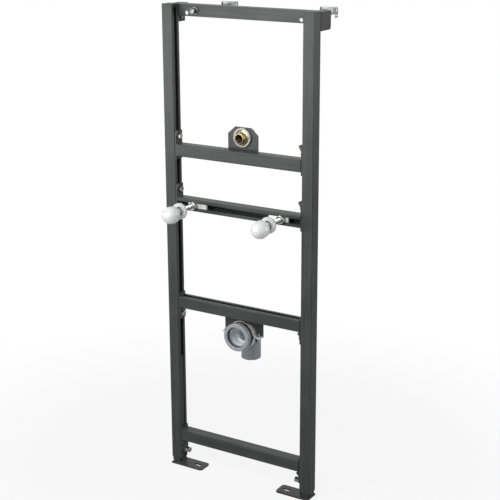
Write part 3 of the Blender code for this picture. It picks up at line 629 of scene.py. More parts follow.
# %% Bracket bolts
BRACKET_STEEL = 0.003
BRACKET_CORNER = 0.005
LIP_REACH = 0.006
LIP_WIDTH = 0.0185
LIP_STEEL = 0.0022
LIP_BELOW_RAIL = 0.003
BOLT_WIDTH = 0.013
BOLT_SHANK = 0.0039
BOLT_REACH = 0.006
BOLT_WASHER = (0.008, 0.0016)
UPPER_END = {"upward": True, "beyond": 0.018, "head": 0.0049, "brace": 0.012}
LOWER_END = {"upward": False, "beyond": 0.018, "head": 0.0049, "brace": 0.007}
FOOT_END = {"upward": False, "beyond": 0.0295, "head": 0.014, "brace": 0.007}
END_BOLTS = {"supply_rail": UPPER_END, "stud_rail": UPPER_END, "drain_rail": LOWER_END,
             "bottom_rail": FOOT_END}


def end_bracket(rail, hand, inward, upward, brace_drop):
    """Bracket plate with its lip and stiffening triangle; gives its inner face's x."""
    low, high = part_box(f"{rail}_bracket_{hand}")
    rail_low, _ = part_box(rail)
    outer_x = low.x if inward > 0 else high.x
    inner_x = outer_x + inward * BRACKET_STEEL
    tip_x = inner_x + inward * LIP_REACH
    foot_z, end_z = (low.z, high.z) if upward else (high.z, low.z)
    lip_z = high.z if upward else rail_low.z - LIP_BELOW_RAIL
    under_z = lip_z - LIP_STEEL
    plate = upright_plate(outer_x, low.y, high.y, foot_z, end_z, BRACKET_CORNER)
    lip = [(inner_x, low.y, lip_z), (tip_x, low.y, lip_z), (tip_x, low.y, under_z),
           (inner_x, low.y, under_z)]
    brace = [lip[3], lip[2], (inner_x, low.y, under_z - brace_drop)]
    piece = folded(f"{rail}_end_plate_{hand}", [
        (plate, X_AXIS * inward * BRACKET_STEEL), (lip, Y_AXIS * LIP_WIDTH),
        (brace, Y_AXIS * LIP_STEEL)], plate_coat)
    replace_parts(piece, f"{rail}_bracket_{hand}")
    return inner_x


for rail, bolt in END_BOLTS.items():
    rail_low, rail_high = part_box(rail)
    bolt_z = rail_high.z + bolt["beyond"] if bolt["upward"] else rail_low.z - bolt["beyond"]
    for hand, side in HANDS.items():
        face_x = end_bracket(rail, hand, -side, bolt["upward"], bolt["brace"])
        washer_and_bolt((f"{rail}_bolt_washer_{hand}", f"{rail}_bolt_{hand}"), BOLT_WASHER,
                        (BOLT_WIDTH, bolt["head"], BOLT_SHANK, BOLT_REACH), -side * X_AXIS,
                        Vector((face_x, rail_mid_y, bolt_z)), bolt_zinc)
print("bracket bolts:", 2 * len(END_BOLTS))

# %% [markdown]
# ## Feet
#
# A foot is a square tube that slides in the upright, welded to a thick plate. The plate has a
# round-ended slot for the floor bolt, which is cut with a stretched cylinder.

# %% Feet
FOOT_STEEL = 0.0045
FOOT_CORNER = 0.006
FOOT_REACH = 0.0935
FOOT_SHIFT = {"left": 0.0055, "right": 0.0}
FOOT_SLOT_LENGTH = 0.022
FOOT_SLOT_WIDTH = 0.01
FOOT_SLOT_INSET = 0.0225
FOOT_SLOT_STEPS = 40
LEG_GAP = 0.0022
LEG_STEEL = 0.0018


def frame_foot(hand, side):
    """Foot plate with its slot, and the leg's four walls; gives the slot's x."""
    low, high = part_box(f"foot_{hand}")
    post_low, post_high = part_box(f"upright_{hand}")
    outer = (high.x if side > 0 else low.x) - side * FOOT_SHIFT[hand]
    inner = outer - side * FOOT_REACH
    outward = side * X_AXIS
    outline = bent((inner, low.y, low.z), Y_AXIS, outward, FOOT_CORNER)
    outline += [Vector((outer, low.y, low.z)), Vector((outer, high.y, low.z))]
    outline += bent((inner, high.y, low.z), outward, -Y_AXIS, FOOT_CORNER)
    foot = folded(f"foot_plate_{hand}", [(outline, Z_AXIS * FOOT_STEEL)], plate_coat)
    slot_x = inner + side * FOOT_SLOT_INSET
    drill(foot, (slot_x, (low.y + high.y) / 2, low.z), FOOT_SLOT_WIDTH / 2, 3 * FOOT_STEEL,
          FOOT_SLOT_STEPS, stretch=FOOT_SLOT_LENGTH - FOOT_SLOT_WIDTH)
    x0, x1 = post_low.x + LEG_GAP, post_high.x - LEG_GAP
    y0, y1 = post_low.y + LEG_GAP, post_high.y - LEG_GAP
    foot_z = low.z + FOOT_STEEL
    walls = [(x0, y0, x1, y0 + LEG_STEEL), (x0, y1 - LEG_STEEL, x1, y1),
             (x0, y0, x0 + LEG_STEEL, y1), (x1 - LEG_STEEL, y0, x1, y1)]
    folded(f"foot_leg_{hand}", [(level_outline(*wall, foot_z), Z_AXIS * (high.z - foot_z))
                                for wall in walls], plate_coat)
    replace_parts(foot, f"foot_{hand}")
    return round(slot_x, 4)


print("slots at x:", [frame_foot(hand, side) for hand, side in HANDS.items()])

# %% [markdown]
# ## Top rail
#
# Two round holes near the ends of the top rail show daylight, because nothing stands behind
# them: the rail's slot is open to below and its rear wall ends higher than its front. One section
# swept along the rail gives both walls, and the holes are drilled through it.

# %% Top rail
RAIL_STEEL = 0.002
RAIL_BEND = 0.0009
REAR_WALL_LIFT = 0.0105
HOLE_RADIUS = 0.0047
HOLE_FROM_MIDDLE = 0.1567
HOLE_BELOW_TOP = 0.0202
HOLE_STEPS = 48
ALONG_Y = (math.pi / 2, 0, 0)

top_low, top_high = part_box("top_rail")


def top_rail_outline():
    """Section of the top rail: front wall, top and a shorter rear wall."""
    x, front, rear, top, foot = top_low.x, top_low.y, top_high.y, top_high.z, top_low.z
    rear_foot = foot + REAR_WALL_LIFT
    inside = [(rear, rear_foot), (rear - RAIL_STEEL, rear_foot),
              (rear - RAIL_STEEL, top - RAIL_STEEL), (front + RAIL_STEEL, top - RAIL_STEEL),
              (front + RAIL_STEEL, foot)]
    return ([Vector((x, front, foot))] + bent((x, front, top), -Z_AXIS, Y_AXIS, RAIL_BEND)
            + bent((x, rear, top), -Y_AXIS, -Z_AXIS, RAIL_BEND)
            + [Vector((x, y, z)) for y, z in inside])


top_rail = folded("top_rail_channel", [(top_rail_outline(), X_AXIS * (top_high.x - top_low.x))],
                  rail_coat)
sight_z = top_high.z - HOLE_BELOW_TOP
for side in HANDS.values():
    drill(top_rail, (mid_x + side * HOLE_FROM_MIDDLE, top_low.y, sight_z),
          HOLE_RADIUS, 3 * RAIL_STEEL, HOLE_STEPS, ALONG_Y)
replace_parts(top_rail, "top_rail")
print("sight holes at z:", round(sight_z, 4))

# %% [markdown]
# ## Bolts of the top rail
#
# A small bolt holds each angle bracket to its upright, and a larger one at the left clamps the
# anchor's slider inside the top rail. The builder of the bracket bolts makes them from two sizes.

# %% Top bolts
CHEEK_BOLT = (0.008, 0.003, 0.0025, 0.003)
CHEEK_WASHER = (0.0058, 0.001)
CHEEK_BOLT_BELOW_TOP = 0.0325
CHEEK_BOLT_BEHIND_FRONT = 0.016
ANCHOR_BOLT = (0.013, 0.012, 0.004, 0.004)
ANCHOR_WASHER = (0.009, 0.0018)
ANCHOR_BOLT_FROM_MIDDLE = 0.133

# The cheek bolts and the anchor bolt wear the dark copy of the zinc, painted shade where the
# uprights shade them.
for hand, side in HANDS.items():
    cheek_low, cheek_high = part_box(f"wall_bracket_{hand}")
    seat = Vector((cheek_high.x if side < 0 else cheek_low.x,
                   top_low.y + CHEEK_BOLT_BEHIND_FRONT, top_high.z - CHEEK_BOLT_BELOW_TOP))
    washer_and_bolt((f"cheek_washer_{hand}", f"cheek_bolt_{hand}"), CHEEK_WASHER, CHEEK_BOLT,
                    -side * X_AXIS, seat, zinc_painted_shade)

washer_and_bolt(("anchor_washer", "anchor_bolt"), ANCHOR_WASHER, ANCHOR_BOLT, -Y_AXIS,
                Vector((mid_x - ANCHOR_BOLT_FROM_MIDDLE, top_low.y, (top_low.z + top_high.z) / 2)),
                zinc_painted_shade)
print("top bolts:", 3)

# %% [markdown]
# ## Wall anchors
#
# An anchor is a strap of bright strip with folded sides that runs back to the wall. Its end
# stands up as a plate with teeth that bite into the plaster, and a hook hangs from its outer side.
# All of it is flat strip, so it is one folded piece.

# %% Anchors
STRAP_STEEL = 0.0015
STRAP_BELOW_TOP = 0.011
SIDE_HEIGHT = 0.0045
SIDE_RAMP = (0.026, 0.042)
TOOTH_PITCH = 0.0052
TOOTH_DEPTH = 0.0026
PLATE_RISE = 0.0034
END_RETURN = 0.006
HOOK_WIDTH = 0.0085
HOOK_NECK = 0.001
HOOK_TIP = [(0, 0.002), (0.0008, 0), (0.006, 0.001), (0.006, 0.0024), (STRAP_STEEL, 0.0022)]


def wall_anchor(hand, side):
    """Strap with folded sides, a toothed end plate and a hook; gives its count of teeth."""
    low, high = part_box(f"wall_anchor_{hand}")
    rear, top = high.y, high.z
    strap_z = top - STRAP_BELOW_TOP
    foot_z = strap_z - STRAP_STEEL
    side_z = strap_z + SIDE_HEIGHT
    root_z = top + PLATE_RISE - TOOTH_DEPTH
    teeth = round((high.x - low.x) / TOOTH_PITCH)
    pitch = (high.x - low.x) / teeth
    strap = level_outline(low.x, low.y, high.x, rear, strap_z)
    plate = [(high.x, rear, foot_z), (low.x, rear, foot_z)]
    for k in range(teeth):
        plate += [(low.x + pitch * k, rear, root_z),
                  (low.x + pitch * (k + 0.5), rear, top + PLATE_RISE)]
    plate.append((high.x, rear, root_z))
    flats = [(strap, -Z_AXIS * STRAP_STEEL), (plate, -Y_AXIS * STRAP_STEEL)]
    tall, flat = (low.y + reach for reach in SIDE_RAMP)
    outline = [(low.y, foot_z), (low.y, top), (tall, top), (flat, side_z),
               (rear - END_RETURN, side_z), (rear - END_RETURN * 0.7, root_z), (rear, root_z),
               (rear, foot_z)]
    for x in (low.x, high.x - STRAP_STEEL):
        flats.append(([(x, y, z) for y, z in outline], X_AXIS * STRAP_STEEL))
    hook_x = high.x - HOOK_WIDTH if side > 0 else low.x
    neck_z = foot_z + HOOK_NECK
    hook = [(rear, neck_z)] + [(rear - back, low.z + rise) for back, rise in HOOK_TIP]
    hook.append((rear - STRAP_STEEL, neck_z))
    flats.append(([(hook_x, y, z) for y, z in hook], X_AXIS * HOOK_WIDTH))
    piece = folded(f"anchor_strap_{hand}", flats, strap_zinc)
    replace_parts(piece, f"wall_anchor_{hand}")
    return teeth


print("teeth on each anchor:", [wall_anchor(hand, side) for hand, side in HANDS.items()])

# %% [markdown]
# ## Weld beads
#
# The rails are welded to their brackets along their upper and lower edges. A bead ripples where
# its pool froze, so it is a short tube whose radius swells and shrinks, half sunk in the corner.

# %% Welds
BEAD_RADIUS = 0.0019
BEAD_RIPPLE = 0.0003
BEAD_SPACING = 0.0022
BEAD_STEPS = 14
BEAD_INSET = 0.0006
BEAD_LIFT = 0.0002
BEAD_FRONT_GAP = 0.004
BEAD_REAR_GAP = 0.003


def weld_bead(name, start, end):
    """Rippled bead between two points."""
    run = end - start
    length = run.length
    rows = max(8, int(length / BEAD_SPACING * ROWS_PER_TURN))
    rings = [(0, 0)]
    for row in range(rows + 1):
        height = length * row / rows
        taper = min(1, 3 * min(row, rows - row) / rows + 0.4)
        ripple = BEAD_RIPPLE * math.cos(2 * math.pi * height / BEAD_SPACING)
        rings.append(((BEAD_RADIUS + ripple) * taper, height))
    rings.append((0, length))
    return stack(name, rings, BEAD_STEPS, plate_coat, run, start, closed=False)


beads = 0
for rail in END_BOLTS:
    rail_low, rail_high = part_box(rail)
    for hand, side in HANDS.items():
        end_x = rail_low.x + BEAD_INSET if side < 0 else rail_high.x - BEAD_INSET
        for edge, edge_z in (("upper", rail_high.z + BEAD_LIFT), ("lower", rail_low.z - BEAD_LIFT)):
            weld_bead(f"{rail}_weld_{edge}_{hand}",
                      Vector((end_x, rail_low.y + BEAD_FRONT_GAP, edge_z)),
                      Vector((end_x, rail_high.y - BEAD_REAR_GAP, edge_z)))
            beads += 1
print("weld beads:", beads)

# %% [markdown]
# ## Hanging studs
#
# Each stud is a threaded rod in a plate nut behind the rail's lips, held by a hexagon nut. The
# rod's thread is the detail that tells a stud from a pin, so it is a real helix.

# %% Studs
STUD_RADIUS = 0.006
STUD_PITCH = 0.00175
NUT_WIDTH = 0.019
NUT_GRIP = 0.0006

for hand in HANDS:
    low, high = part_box(f"stud_{hand}")
    stud_mid = middle(f"stud_{hand}")
    rod = threaded_rod(f"stud_thread_{hand}", STUD_RADIUS, high.y - low.y, STUD_PITCH, -Y_AXIS,
                       (stud_mid.x, high.y, stud_mid.z), bolt_zinc)
    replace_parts(rod, f"stud_{hand}")
    nut_low, nut_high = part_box(f"stud_nut_{hand}")
    nut = hexagon_nut(f"stud_hexagon_{hand}", NUT_WIDTH, nut_high.y - nut_low.y,
                      STUD_RADIUS - NUT_GRIP, -Y_AXIS, (stud_mid.x, nut_high.y, stud_mid.z),
                      bolt_zinc)
    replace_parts(nut, f"stud_nut_{hand}")
print("stud pitch in mm:", STUD_PITCH * 1000)

# %% [markdown]
# ## Sleeves and caps
#
# The sleeve is a flanged bush with a recess in its front. A black ring at the bottom of the recess
# is painted shade for that recess. The cap is a blunt cone with a rounded nose, which hangs a
# little on its stud. Each is one profile spun about an axis.

# %% Sleeves and caps
SLEEVE_RADIUS = 0.02
SLEEVE_EDGE = 0.0016
SLEEVE_NECK_RADIUS = 0.0125
SLEEVE_NECK_LENGTH = 0.0088
NECK_EDGE = 0.0005
NECK_FILLET = 0.001
RECESS_RADIUS = 0.011
RECESS_DEPTH = 0.006
RECESS_EDGE = 0.0006
SHADE_RING_GAP = 0.0001
SHADE_RING_DEPTH = 0.002
CAP_NECK_RADIUS = 0.0085
CAP_NECK_LENGTH = 0.011
CAP_NECK_EDGE = 0.0004
CAP_SHOULDER_RADIUS = 0.02
CAP_SHOULDER_LENGTH = 0.027
CAP_RADIUS = 0.0212
CAP_WIDEST_LENGTH = 0.0375
CAP_TIP_SHARE = 0.985
CAP_DROOP = math.radians(3.2)
NOSE_POWER = 1.8
NOSE_STEPS = 24


def sleeve(name, at, length):
    """Flanged sleeve that rises from its back to its front."""
    neck, shoulder, bed = SLEEVE_NECK_RADIUS, SLEEVE_NECK_LENGTH, length - RECESS_DEPTH
    rings = [(STUD_RADIUS, 0), (neck - NECK_EDGE, 0), (neck, NECK_EDGE),
             (neck, shoulder - NECK_FILLET), (neck + NECK_FILLET, shoulder)]
    rings += lower_rim(SLEEVE_RADIUS, shoulder, SLEEVE_EDGE)
    rings += upper_rim(SLEEVE_RADIUS, length, SLEEVE_EDGE)
    rings += [(RECESS_RADIUS + RECESS_EDGE, length), (RECESS_RADIUS, length - RECESS_EDGE),
              (RECESS_RADIUS, bed), (STUD_RADIUS, bed)]
    return stack(name, rings, ROUND, white_moulding, -Y_AXIS, at)


def cap(name, at, length):
    """Egg-shaped cap: neck, cone and rounded nose, closed at its front."""
    neck, shoulder, widest = CAP_NECK_LENGTH, CAP_SHOULDER_LENGTH, CAP_WIDEST_LENGTH
    rings = [(STUD_RADIUS, 0), (CAP_NECK_RADIUS, 0), (CAP_NECK_RADIUS, neck - 2 * CAP_NECK_EDGE),
             (CAP_NECK_RADIUS + CAP_NECK_EDGE, neck), (CAP_SHOULDER_RADIUS, shoulder)]
    for a in QUARTER[1:6]:
        rise = 0.4 * (1 - math.cos(a)) + 0.6 * a / (math.pi / 2)
        rings.append((CAP_SHOULDER_RADIUS + (CAP_RADIUS - CAP_SHOULDER_RADIUS) * math.sin(a),
                      shoulder + (widest - shoulder) * rise))
    for k in range(NOSE_STEPS):
        share = math.sin(math.pi / 2 * k / NOSE_STEPS)
        rings.append((CAP_RADIUS * math.sqrt(1 - share ** NOSE_POWER),
                      widest + (length - widest) * share))
    rings.append((0, length))
    drooping = (0, -math.cos(CAP_DROOP), -math.sin(CAP_DROOP))
    return stack(name, rings, ROUND, white_moulding, drooping, at, closed=False, smooth_angle=50)


for hand in HANDS:
    stud_mid = middle(f"stud_{hand}")
    sleeve_low, sleeve_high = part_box(f"stud_collar_{hand}")
    bush = sleeve(f"stud_sleeve_{hand}", (stud_mid.x, sleeve_high.y, stud_mid.z),
                  sleeve_high.y - sleeve_low.y)
    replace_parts(bush, f"stud_collar_{hand}")
    # Black ring at the bottom of the sleeve's recess: painted shade in the recess, not a washer.
    washer(f"stud_recess_painted_shade_{hand}", RECESS_RADIUS - 2 * SHADE_RING_GAP, SHADE_RING_DEPTH,
           CAP_NECK_RADIUS + SHADE_RING_GAP, -Y_AXIS,
           (stud_mid.x, sleeve_low.y + RECESS_DEPTH, stud_mid.z), rubber)
    dome_low, dome_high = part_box(f"stud_dome_{hand}")
    dome = cap(f"stud_cap_{hand}", (stud_mid.x, dome_high.y, stud_mid.z),
               (dome_high.y - dome_low.y) * CAP_TIP_SHARE)
    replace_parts(dome, f"stud_dome_{hand}")
print("caps and sleeves:", 2)

# %% [markdown]
# ## Water socket
#
# A brass socket with an inner half-inch thread comes forward through the plate, and behind the
# plate it turns downwards and ends in a threaded tail. The thread's turns show in the bore, so
# they are modelled as a helix too.

# %% Water socket
SOCKET_RADIUS = 0.0128
SOCKET_BORE = 0.01
SOCKET_EDGE = 0.0009
SOCKET_BEHIND_PLATE = 0.012
SOCKET_STEPS = 64
FLANGE_RADIUS = 0.0192
FLANGE_STEEL = 0.003
FLANGE_EDGE = 0.0005
FLANGE_FILLET = 0.0004
SOCKET_PITCH = 0.0018
BORE_THREAD_DEPTH = 0.0009
BORE_THREAD_START = 0.001
BORE_FLOOR = 0.0004
SKIN_GAP = 0.0001
TAIL_RADIUS = 0.014
TAIL_BORE = 0.009
TAIL_THREAD_LENGTH = 0.016
TAIL_THREAD_DEPTH = 0.001
TAIL_CHAMFER = 0.0012
TAIL_ROWS = 54
TAIL_TOP_EDGE = 0.004
TAIL_STEPS = 48

socket_low, socket_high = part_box("supply_nozzle")
plate_low, plate_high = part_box("supply_plate")
ring_low, ring_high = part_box("supply_ring")
supply_z = (ring_low.z + ring_high.z) / 2


def bore_thread(height):
    """Ring of the socket's inner thread."""
    def ring(turn):
        wave = thread_wave(SOCKET_PITCH, height, turn)
        return SOCKET_BORE - BORE_THREAD_DEPTH * (1 - wave), height
    return ring


def water_socket(name):
    """Socket along Y: height 0 is its front face."""
    back = plate_high.y + SOCKET_BEHIND_PLATE - socket_low.y
    flange = ring_high.y - socket_low.y
    face = flange - FLANGE_STEEL
    bore = SOCKET_BORE + 2 * SKIN_GAP
    rings = [(SOCKET_RADIUS, back), (SOCKET_RADIUS, flange), (FLANGE_RADIUS, flange),
             (FLANGE_RADIUS, face + FLANGE_EDGE), (FLANGE_RADIUS - FLANGE_EDGE, face),
             (SOCKET_RADIUS + FLANGE_FILLET, face), (SOCKET_RADIUS, face - FLANGE_FILLET),
             (SOCKET_RADIUS, SOCKET_EDGE), (SOCKET_RADIUS - SOCKET_EDGE, 0),
             (SOCKET_BORE + SOCKET_EDGE, 0), (bore, SOCKET_EDGE), (bore, back)]
    run = back - 2 * BORE_THREAD_START
    rows = int(run / SOCKET_PITCH * ROWS_PER_TURN)
    skin = SOCKET_BORE + SKIN_GAP
    thread = [(skin, BORE_THREAD_START)]
    thread += [bore_thread(BORE_THREAD_START + run * row / rows) for row in range(rows + 1)]
    thread += [(0, back - BORE_THREAD_DEPTH), (0, back - BORE_FLOOR), (skin, back - BORE_FLOOR)]
    at = (mid_x, socket_low.y, supply_z)
    # The bore's thread wears the near-black brass, painted shade inside the bore.
    stack(f"{name}_thread", thread, SOCKET_STEPS, bore_brass_painted_shade, Y_AXIS, at, smooth_angle=50)
    return stack(name, rings, SOCKET_STEPS, socket_brass, Y_AXIS, at, smooth_angle=50)


def water_tail(name):
    """Elbow body behind the plate with a domed top and a threaded lower end."""
    length = supply_z + TAIL_RADIUS - socket_low.z
    rings = [(TAIL_BORE, 0), (TAIL_BORE + 0.001, 0)]
    for row in range(TAIL_ROWS + 1):
        height = TAIL_THREAD_LENGTH * row / TAIL_ROWS
        limit = TAIL_RADIUS - TAIL_CHAMFER + min(TAIL_CHAMFER, height)
        rings.append(outer_thread(TAIL_RADIUS, TAIL_THREAD_DEPTH, SOCKET_PITCH, height, limit))
    rings.append((TAIL_RADIUS, TAIL_THREAD_LENGTH + 0.0008))
    rings += upper_rim(TAIL_RADIUS, length, TAIL_TOP_EDGE)
    rings += [(0, length), (0, length - TAIL_TOP_EDGE), (TAIL_BORE, length - 1.5 * TAIL_TOP_EDGE)]
    return stack(name, rings, TAIL_STEPS, socket_brass, Z_AXIS,
                 (mid_x, socket_high.y - TAIL_RADIUS, socket_low.z), smooth_angle=50)


socket = water_socket("water_socket")
tail = water_tail("water_tail")
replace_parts(socket, "supply_nozzle")
print("water socket height:", round(supply_z, 4))

# %% [markdown]
# A white plastic ring surrounds the socket's flange. It has shallow grips on its rim, as the
# drain's nut does, so a helper makes a ring whose radius dips at even spaces.

# %% White ring
RING_NOTCHES = 24
RING_NOTCH_SHARE = 0.3
GRIP_DEPTH = 0.0005
RING_STEPS = 144


def gripped(radius, height, count, share):
    """Ring with a count of shallow grips that take a share of its rim."""
    def ring(turn):
        dips = (turn * count / (2 * math.pi)) % 1 < share
        return radius - (GRIP_DEPTH if dips else 0), height
    return ring


def white_ring(name):
    """Ring round the socket's flange with a raised rim and small notches on its outside."""
    depth = ring_high.y - ring_low.y
    outer = (ring_high.x - ring_low.x) / 2
    inner = FLANGE_RADIUS + 0.0003
    rings = [(inner, depth), (inner, 0.0008), (inner + 0.0008, 0), (outer - 0.0013, 0),
             gripped(outer, 0.001, RING_NOTCHES, RING_NOTCH_SHARE),
             gripped(outer, depth - 0.0006, RING_NOTCHES, RING_NOTCH_SHARE),
             (outer - 0.0006, depth)]
    return stack(name, rings, RING_STEPS, white_moulding, Y_AXIS, (mid_x, ring_low.y, supply_z),
                 smooth_angle=30)


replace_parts(white_ring("socket_ring"), "supply_ring")
print("notches:", RING_NOTCHES)

# %% [markdown]
# ## Drain elbow
#
# The elbow is a moulded pipe with a bell, a tight bend and a spigot that points down. Rings are
# swept along its centre line, outside first and then back along the inside, so that the open
# ends show the wall's real thickness.

# %% Drain elbow
BELL_RADIUS = 0.031
BELL_BEHIND_RAIL = 0.023
BELL_TAPER = 0.007
TAPER_STEPS = 6
MOUTH_GAP = 0.0003
MOUTH_EDGE = 0.0004
SPIGOT_RADIUS = 0.025
SPIGOT_EDGE = 0.0008
PIPE_WALL = 0.002
BEND_RADIUS = 0.03
BEND_STEPS = 20
PIPE_GAP = 0.0001
PAINTED_LIGHT_SKIN_WALL = 0.0003

elbow_low, elbow_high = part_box("drain_elbow")
drain_nut_low, drain_nut_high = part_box("drain_nut")
drain_z = (drain_nut_low.z + drain_nut_high.z) / 2


def elbow_stations():
    """(y, z, tilt, radius) along the elbow from the mouth to the spigot's end."""
    mouth = drain_nut_high.y + MOUTH_GAP
    bell_end = rail_mid_y + BELL_BEHIND_RAIL
    taper = bell_end - BELL_TAPER
    spigot_y = elbow_high.y - SPIGOT_RADIUS
    stations = [(mouth, drain_z, 0, BELL_RADIUS - MOUTH_EDGE),
                (mouth + 1.5 * MOUTH_EDGE, drain_z, 0, BELL_RADIUS),
                (taper, drain_z, 0, BELL_RADIUS)]
    for k in range(1, TAPER_STEPS + 1):
        share = k / TAPER_STEPS
        ease = (1 - math.cos(math.pi * share)) / 2
        stations.append((taper + BELL_TAPER * share, drain_z, 0,
                         BELL_RADIUS + (SPIGOT_RADIUS - BELL_RADIUS) * ease))
    centre_y = spigot_y - BEND_RADIUS
    centre_z = drain_z - BEND_RADIUS
    first = math.asin(min(1, max(0, (bell_end - centre_y) / BEND_RADIUS)))
    for k in range(1, BEND_STEPS + 1):
        a = first + (math.pi / 2 - first) * k / BEND_STEPS
        stations.append((centre_y + BEND_RADIUS * math.sin(a),
                         centre_z + BEND_RADIUS * math.cos(a), a, SPIGOT_RADIUS))
    stations.append((spigot_y, elbow_low.z + 0.001, math.pi / 2, SPIGOT_RADIUS))
    stations.append((spigot_y, elbow_low.z, math.pi / 2, SPIGOT_RADIUS - SPIGOT_EDGE))
    return stations


def sweep(name, stations, wall, finish):
    """Open pipe through stations, with an inner skin one wall inside the outer one."""
    inside = [(y, z, tilt, radius - wall) for y, z, tilt, radius in reversed(stations)]
    vertices = []
    for y, z, tilt, radius in stations + inside:
        along = Vector((0, math.cos(tilt), -math.sin(tilt)))
        up = Vector((0, math.sin(tilt), math.cos(tilt)))
        across = along.cross(up)
        for step in range(ROUND):
            turn = 2 * math.pi * step / ROUND
            vertices.append(Vector((mid_x, y, z)) + across * radius * math.cos(turn)
                            + up * radius * math.sin(turn))
    faces = ring_faces(2 * len(stations), ROUND, True)
    return add_piece(name, vertices, faces, finish, smooth_angle=50)


line = elbow_stations()
inner_line = [(y, z, tilt, radius - PIPE_WALL - PIPE_GAP) for y, z, tilt, radius in line[1:-1]]
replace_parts(sweep("elbow_pipe", line, PIPE_WALL, pipe_grey), "drain_elbow")
# A thin skin inside the elbow wears a pale grey, painted light that brightens the inside of the
# bell.
sweep("elbow_inside_painted_light", inner_line, PAINTED_LIGHT_SKIN_WALL, pipe_inside_painted_light)
print("elbow drop:", round(drain_z - elbow_low.z, 4))

# %% [markdown]
# The nut that closes the bell has grips along the back part of its rim, and the seal behind its
# mouth is a soft black lip. Both could be cut from cylinders, but a profile spun about the axis
# gives their rounded rims too.

# %% Drain nut and seal
NUT_RADIUS = 0.036
NUT_BORE = 0.0262
NUT_EDGE = 0.0024
NUT_LEAD = 0.001
GRIPS = 36
GRIP_SHARE = 0.28
GRIP_START = 0.0048
SEAL_DEPTH = 0.0036


def grip_nut(name):
    """Round nut with grips along the back part of its rim."""
    depth = drain_nut_high.y - drain_nut_low.y
    rings = [(NUT_BORE, depth), (NUT_BORE, NUT_LEAD), (NUT_BORE + NUT_LEAD, 0)]
    rings += lower_rim(NUT_RADIUS, 0, NUT_EDGE)
    rings += [(NUT_RADIUS, GRIP_START - 0.0006), gripped(NUT_RADIUS, GRIP_START, GRIPS, GRIP_SHARE),
              gripped(NUT_RADIUS, depth - 0.001, GRIPS, GRIP_SHARE), (NUT_RADIUS - 0.0016, depth)]
    return stack(name, rings, GRIPS * 6, pipe_grey, Y_AXIS, (mid_x, drain_nut_low.y, drain_z),
                 smooth_angle=32)


def lip_seal(name):
    """Black seal: an outer bead and a lip that leans inwards."""
    low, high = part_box("drain_seal")
    outer = (high.x - low.x) / 2
    profile = [(0, SEAL_DEPTH), (0, 0.0004), (0.0004, 0), (0.0008, 0), (0.001, 0.0006),
               (0.0016, 0.002), (0.0014, SEAL_DEPTH - 0.0004), (0.001, SEAL_DEPTH)]
    rings = [(outer - inset, height) for inset, height in profile]
    return stack(name, rings, ROUND, rubber, Y_AXIS, (mid_x, low.y, drain_z), smooth_angle=50)


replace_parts(grip_nut("bell_nut"), "drain_nut")
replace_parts(lip_seal("bell_seal"), "drain_seal")
print("grips:", GRIPS)

# %% [markdown]
# ## Pipe clamp
#
# A zinc band in two halves holds the bell against the drain plate over a rubber lining. The
# halves meet in ears at both sides, pulled together by a screw and a nut each. Each half is one
# strip bent along a path, because an ear added to it would leave a seam.

# %% Clamp
CLAMP_STEEL = 0.0016
EAR_STEEL = 0.003
EAR_LENGTH = 0.02
EAR_BEND = 0.0022
EAR_BEND_LEAD = 0.0002
HALF_GAP = 0.00018
BAND_STEPS = 40
SCREW_ALONG_EAR = 0.55
SCREW_WIDTH = 0.01
SCREW_RADIUS = 0.003
SCREW_HEAD = 0.0042
SCREW_NUT = 0.005
SCREW_TAIL = 0.009
SCREW_PITCH = 0.001

clamp_low, clamp_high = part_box("pipe_clamp")
clamp_width = clamp_high.y - clamp_low.y
band_outer = (clamp_high.z - clamp_low.z) / 2


def clamp_half(name, up):
    """Half of the band, with an ear at each end, as one bent strip."""
    band_inner = band_outer - CLAMP_STEEL
    bend = band_outer + EAR_BEND
    rise = math.asin((EAR_STEEL / 2 + EAR_BEND) / bend)
    ear = [(bend * math.cos(rise) + EAR_BEND_LEAD, HALF_GAP), (band_outer + EAR_LENGTH, HALF_GAP)]
    path = [(-u, v) for u, v in reversed(ear)]
    for k in range(BAND_STEPS + 1):
        a = math.pi - rise - (math.pi - 2 * rise) * k / BAND_STEPS
        path.append((band_inner * math.cos(a), band_inner * math.sin(a)))
    path += ear
    vertices = []
    for index, place in enumerate(path):
        before = Vector(path[max(0, index - 1)])
        after = Vector(path[min(len(path) - 1, index + 1)])
        run = (after - before).normalized()
        thick = CLAMP_STEEL if 1 < index < len(path) - 2 else EAR_STEEL / 2 - HALF_GAP
        inner = Vector(place)
        outer = inner + Vector((-run.y, run.x)) * thick
        for v, y in ((inner, 0), (outer, 0), (outer, clamp_width), (inner, clamp_width)):
            vertices.append((mid_x + v.x, clamp_low.y + y, drain_z + up * v.y))
    last = 4 * (len(path) - 1)
    faces = ring_faces(len(path), 4, False)
    faces += [(0, 1, 2, 3), (last, last + 1, last + 2, last + 3)]
    return add_piece(name, vertices, faces, pale_zinc, smooth_angle=30)


upper = clamp_half("clamp_upper", 1)
lower = clamp_half("clamp_lower", -1)
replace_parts(upper, "pipe_clamp")

for hand, side in HANDS.items():
    screw = Vector((mid_x + side * (band_outer + EAR_LENGTH * SCREW_ALONG_EAR),
                    (clamp_low.y + clamp_high.y) / 2, drain_z))
    top, low = screw + Z_AXIS * EAR_STEEL / 2, screw - Z_AXIS * EAR_STEEL / 2
    hexagon_bolt(f"clamp_screw_{hand}", SCREW_WIDTH, SCREW_HEAD, SCREW_RADIUS, EAR_STEEL, Z_AXIS,
                 top, bolt_zinc)
    hexagon_nut(f"clamp_nut_{hand}", SCREW_WIDTH, SCREW_NUT, SCREW_RADIUS, -Z_AXIS, low, bolt_zinc)
    threaded_rod(f"clamp_thread_{hand}", SCREW_RADIUS, SCREW_TAIL, SCREW_PITCH, -Z_AXIS, low,
                 bolt_zinc)
print("clamp width in mm:", round(clamp_width * 1000, 1))

# %% [markdown]
# The band presses on a rubber lining, whose front lip stands out of the band. A plain tube would
# lack that lip, so the lining is a spun profile as well.

# %% Lining
LINING_THICKNESS = 0.003
LINING_LIP_WIDTH = 0.003


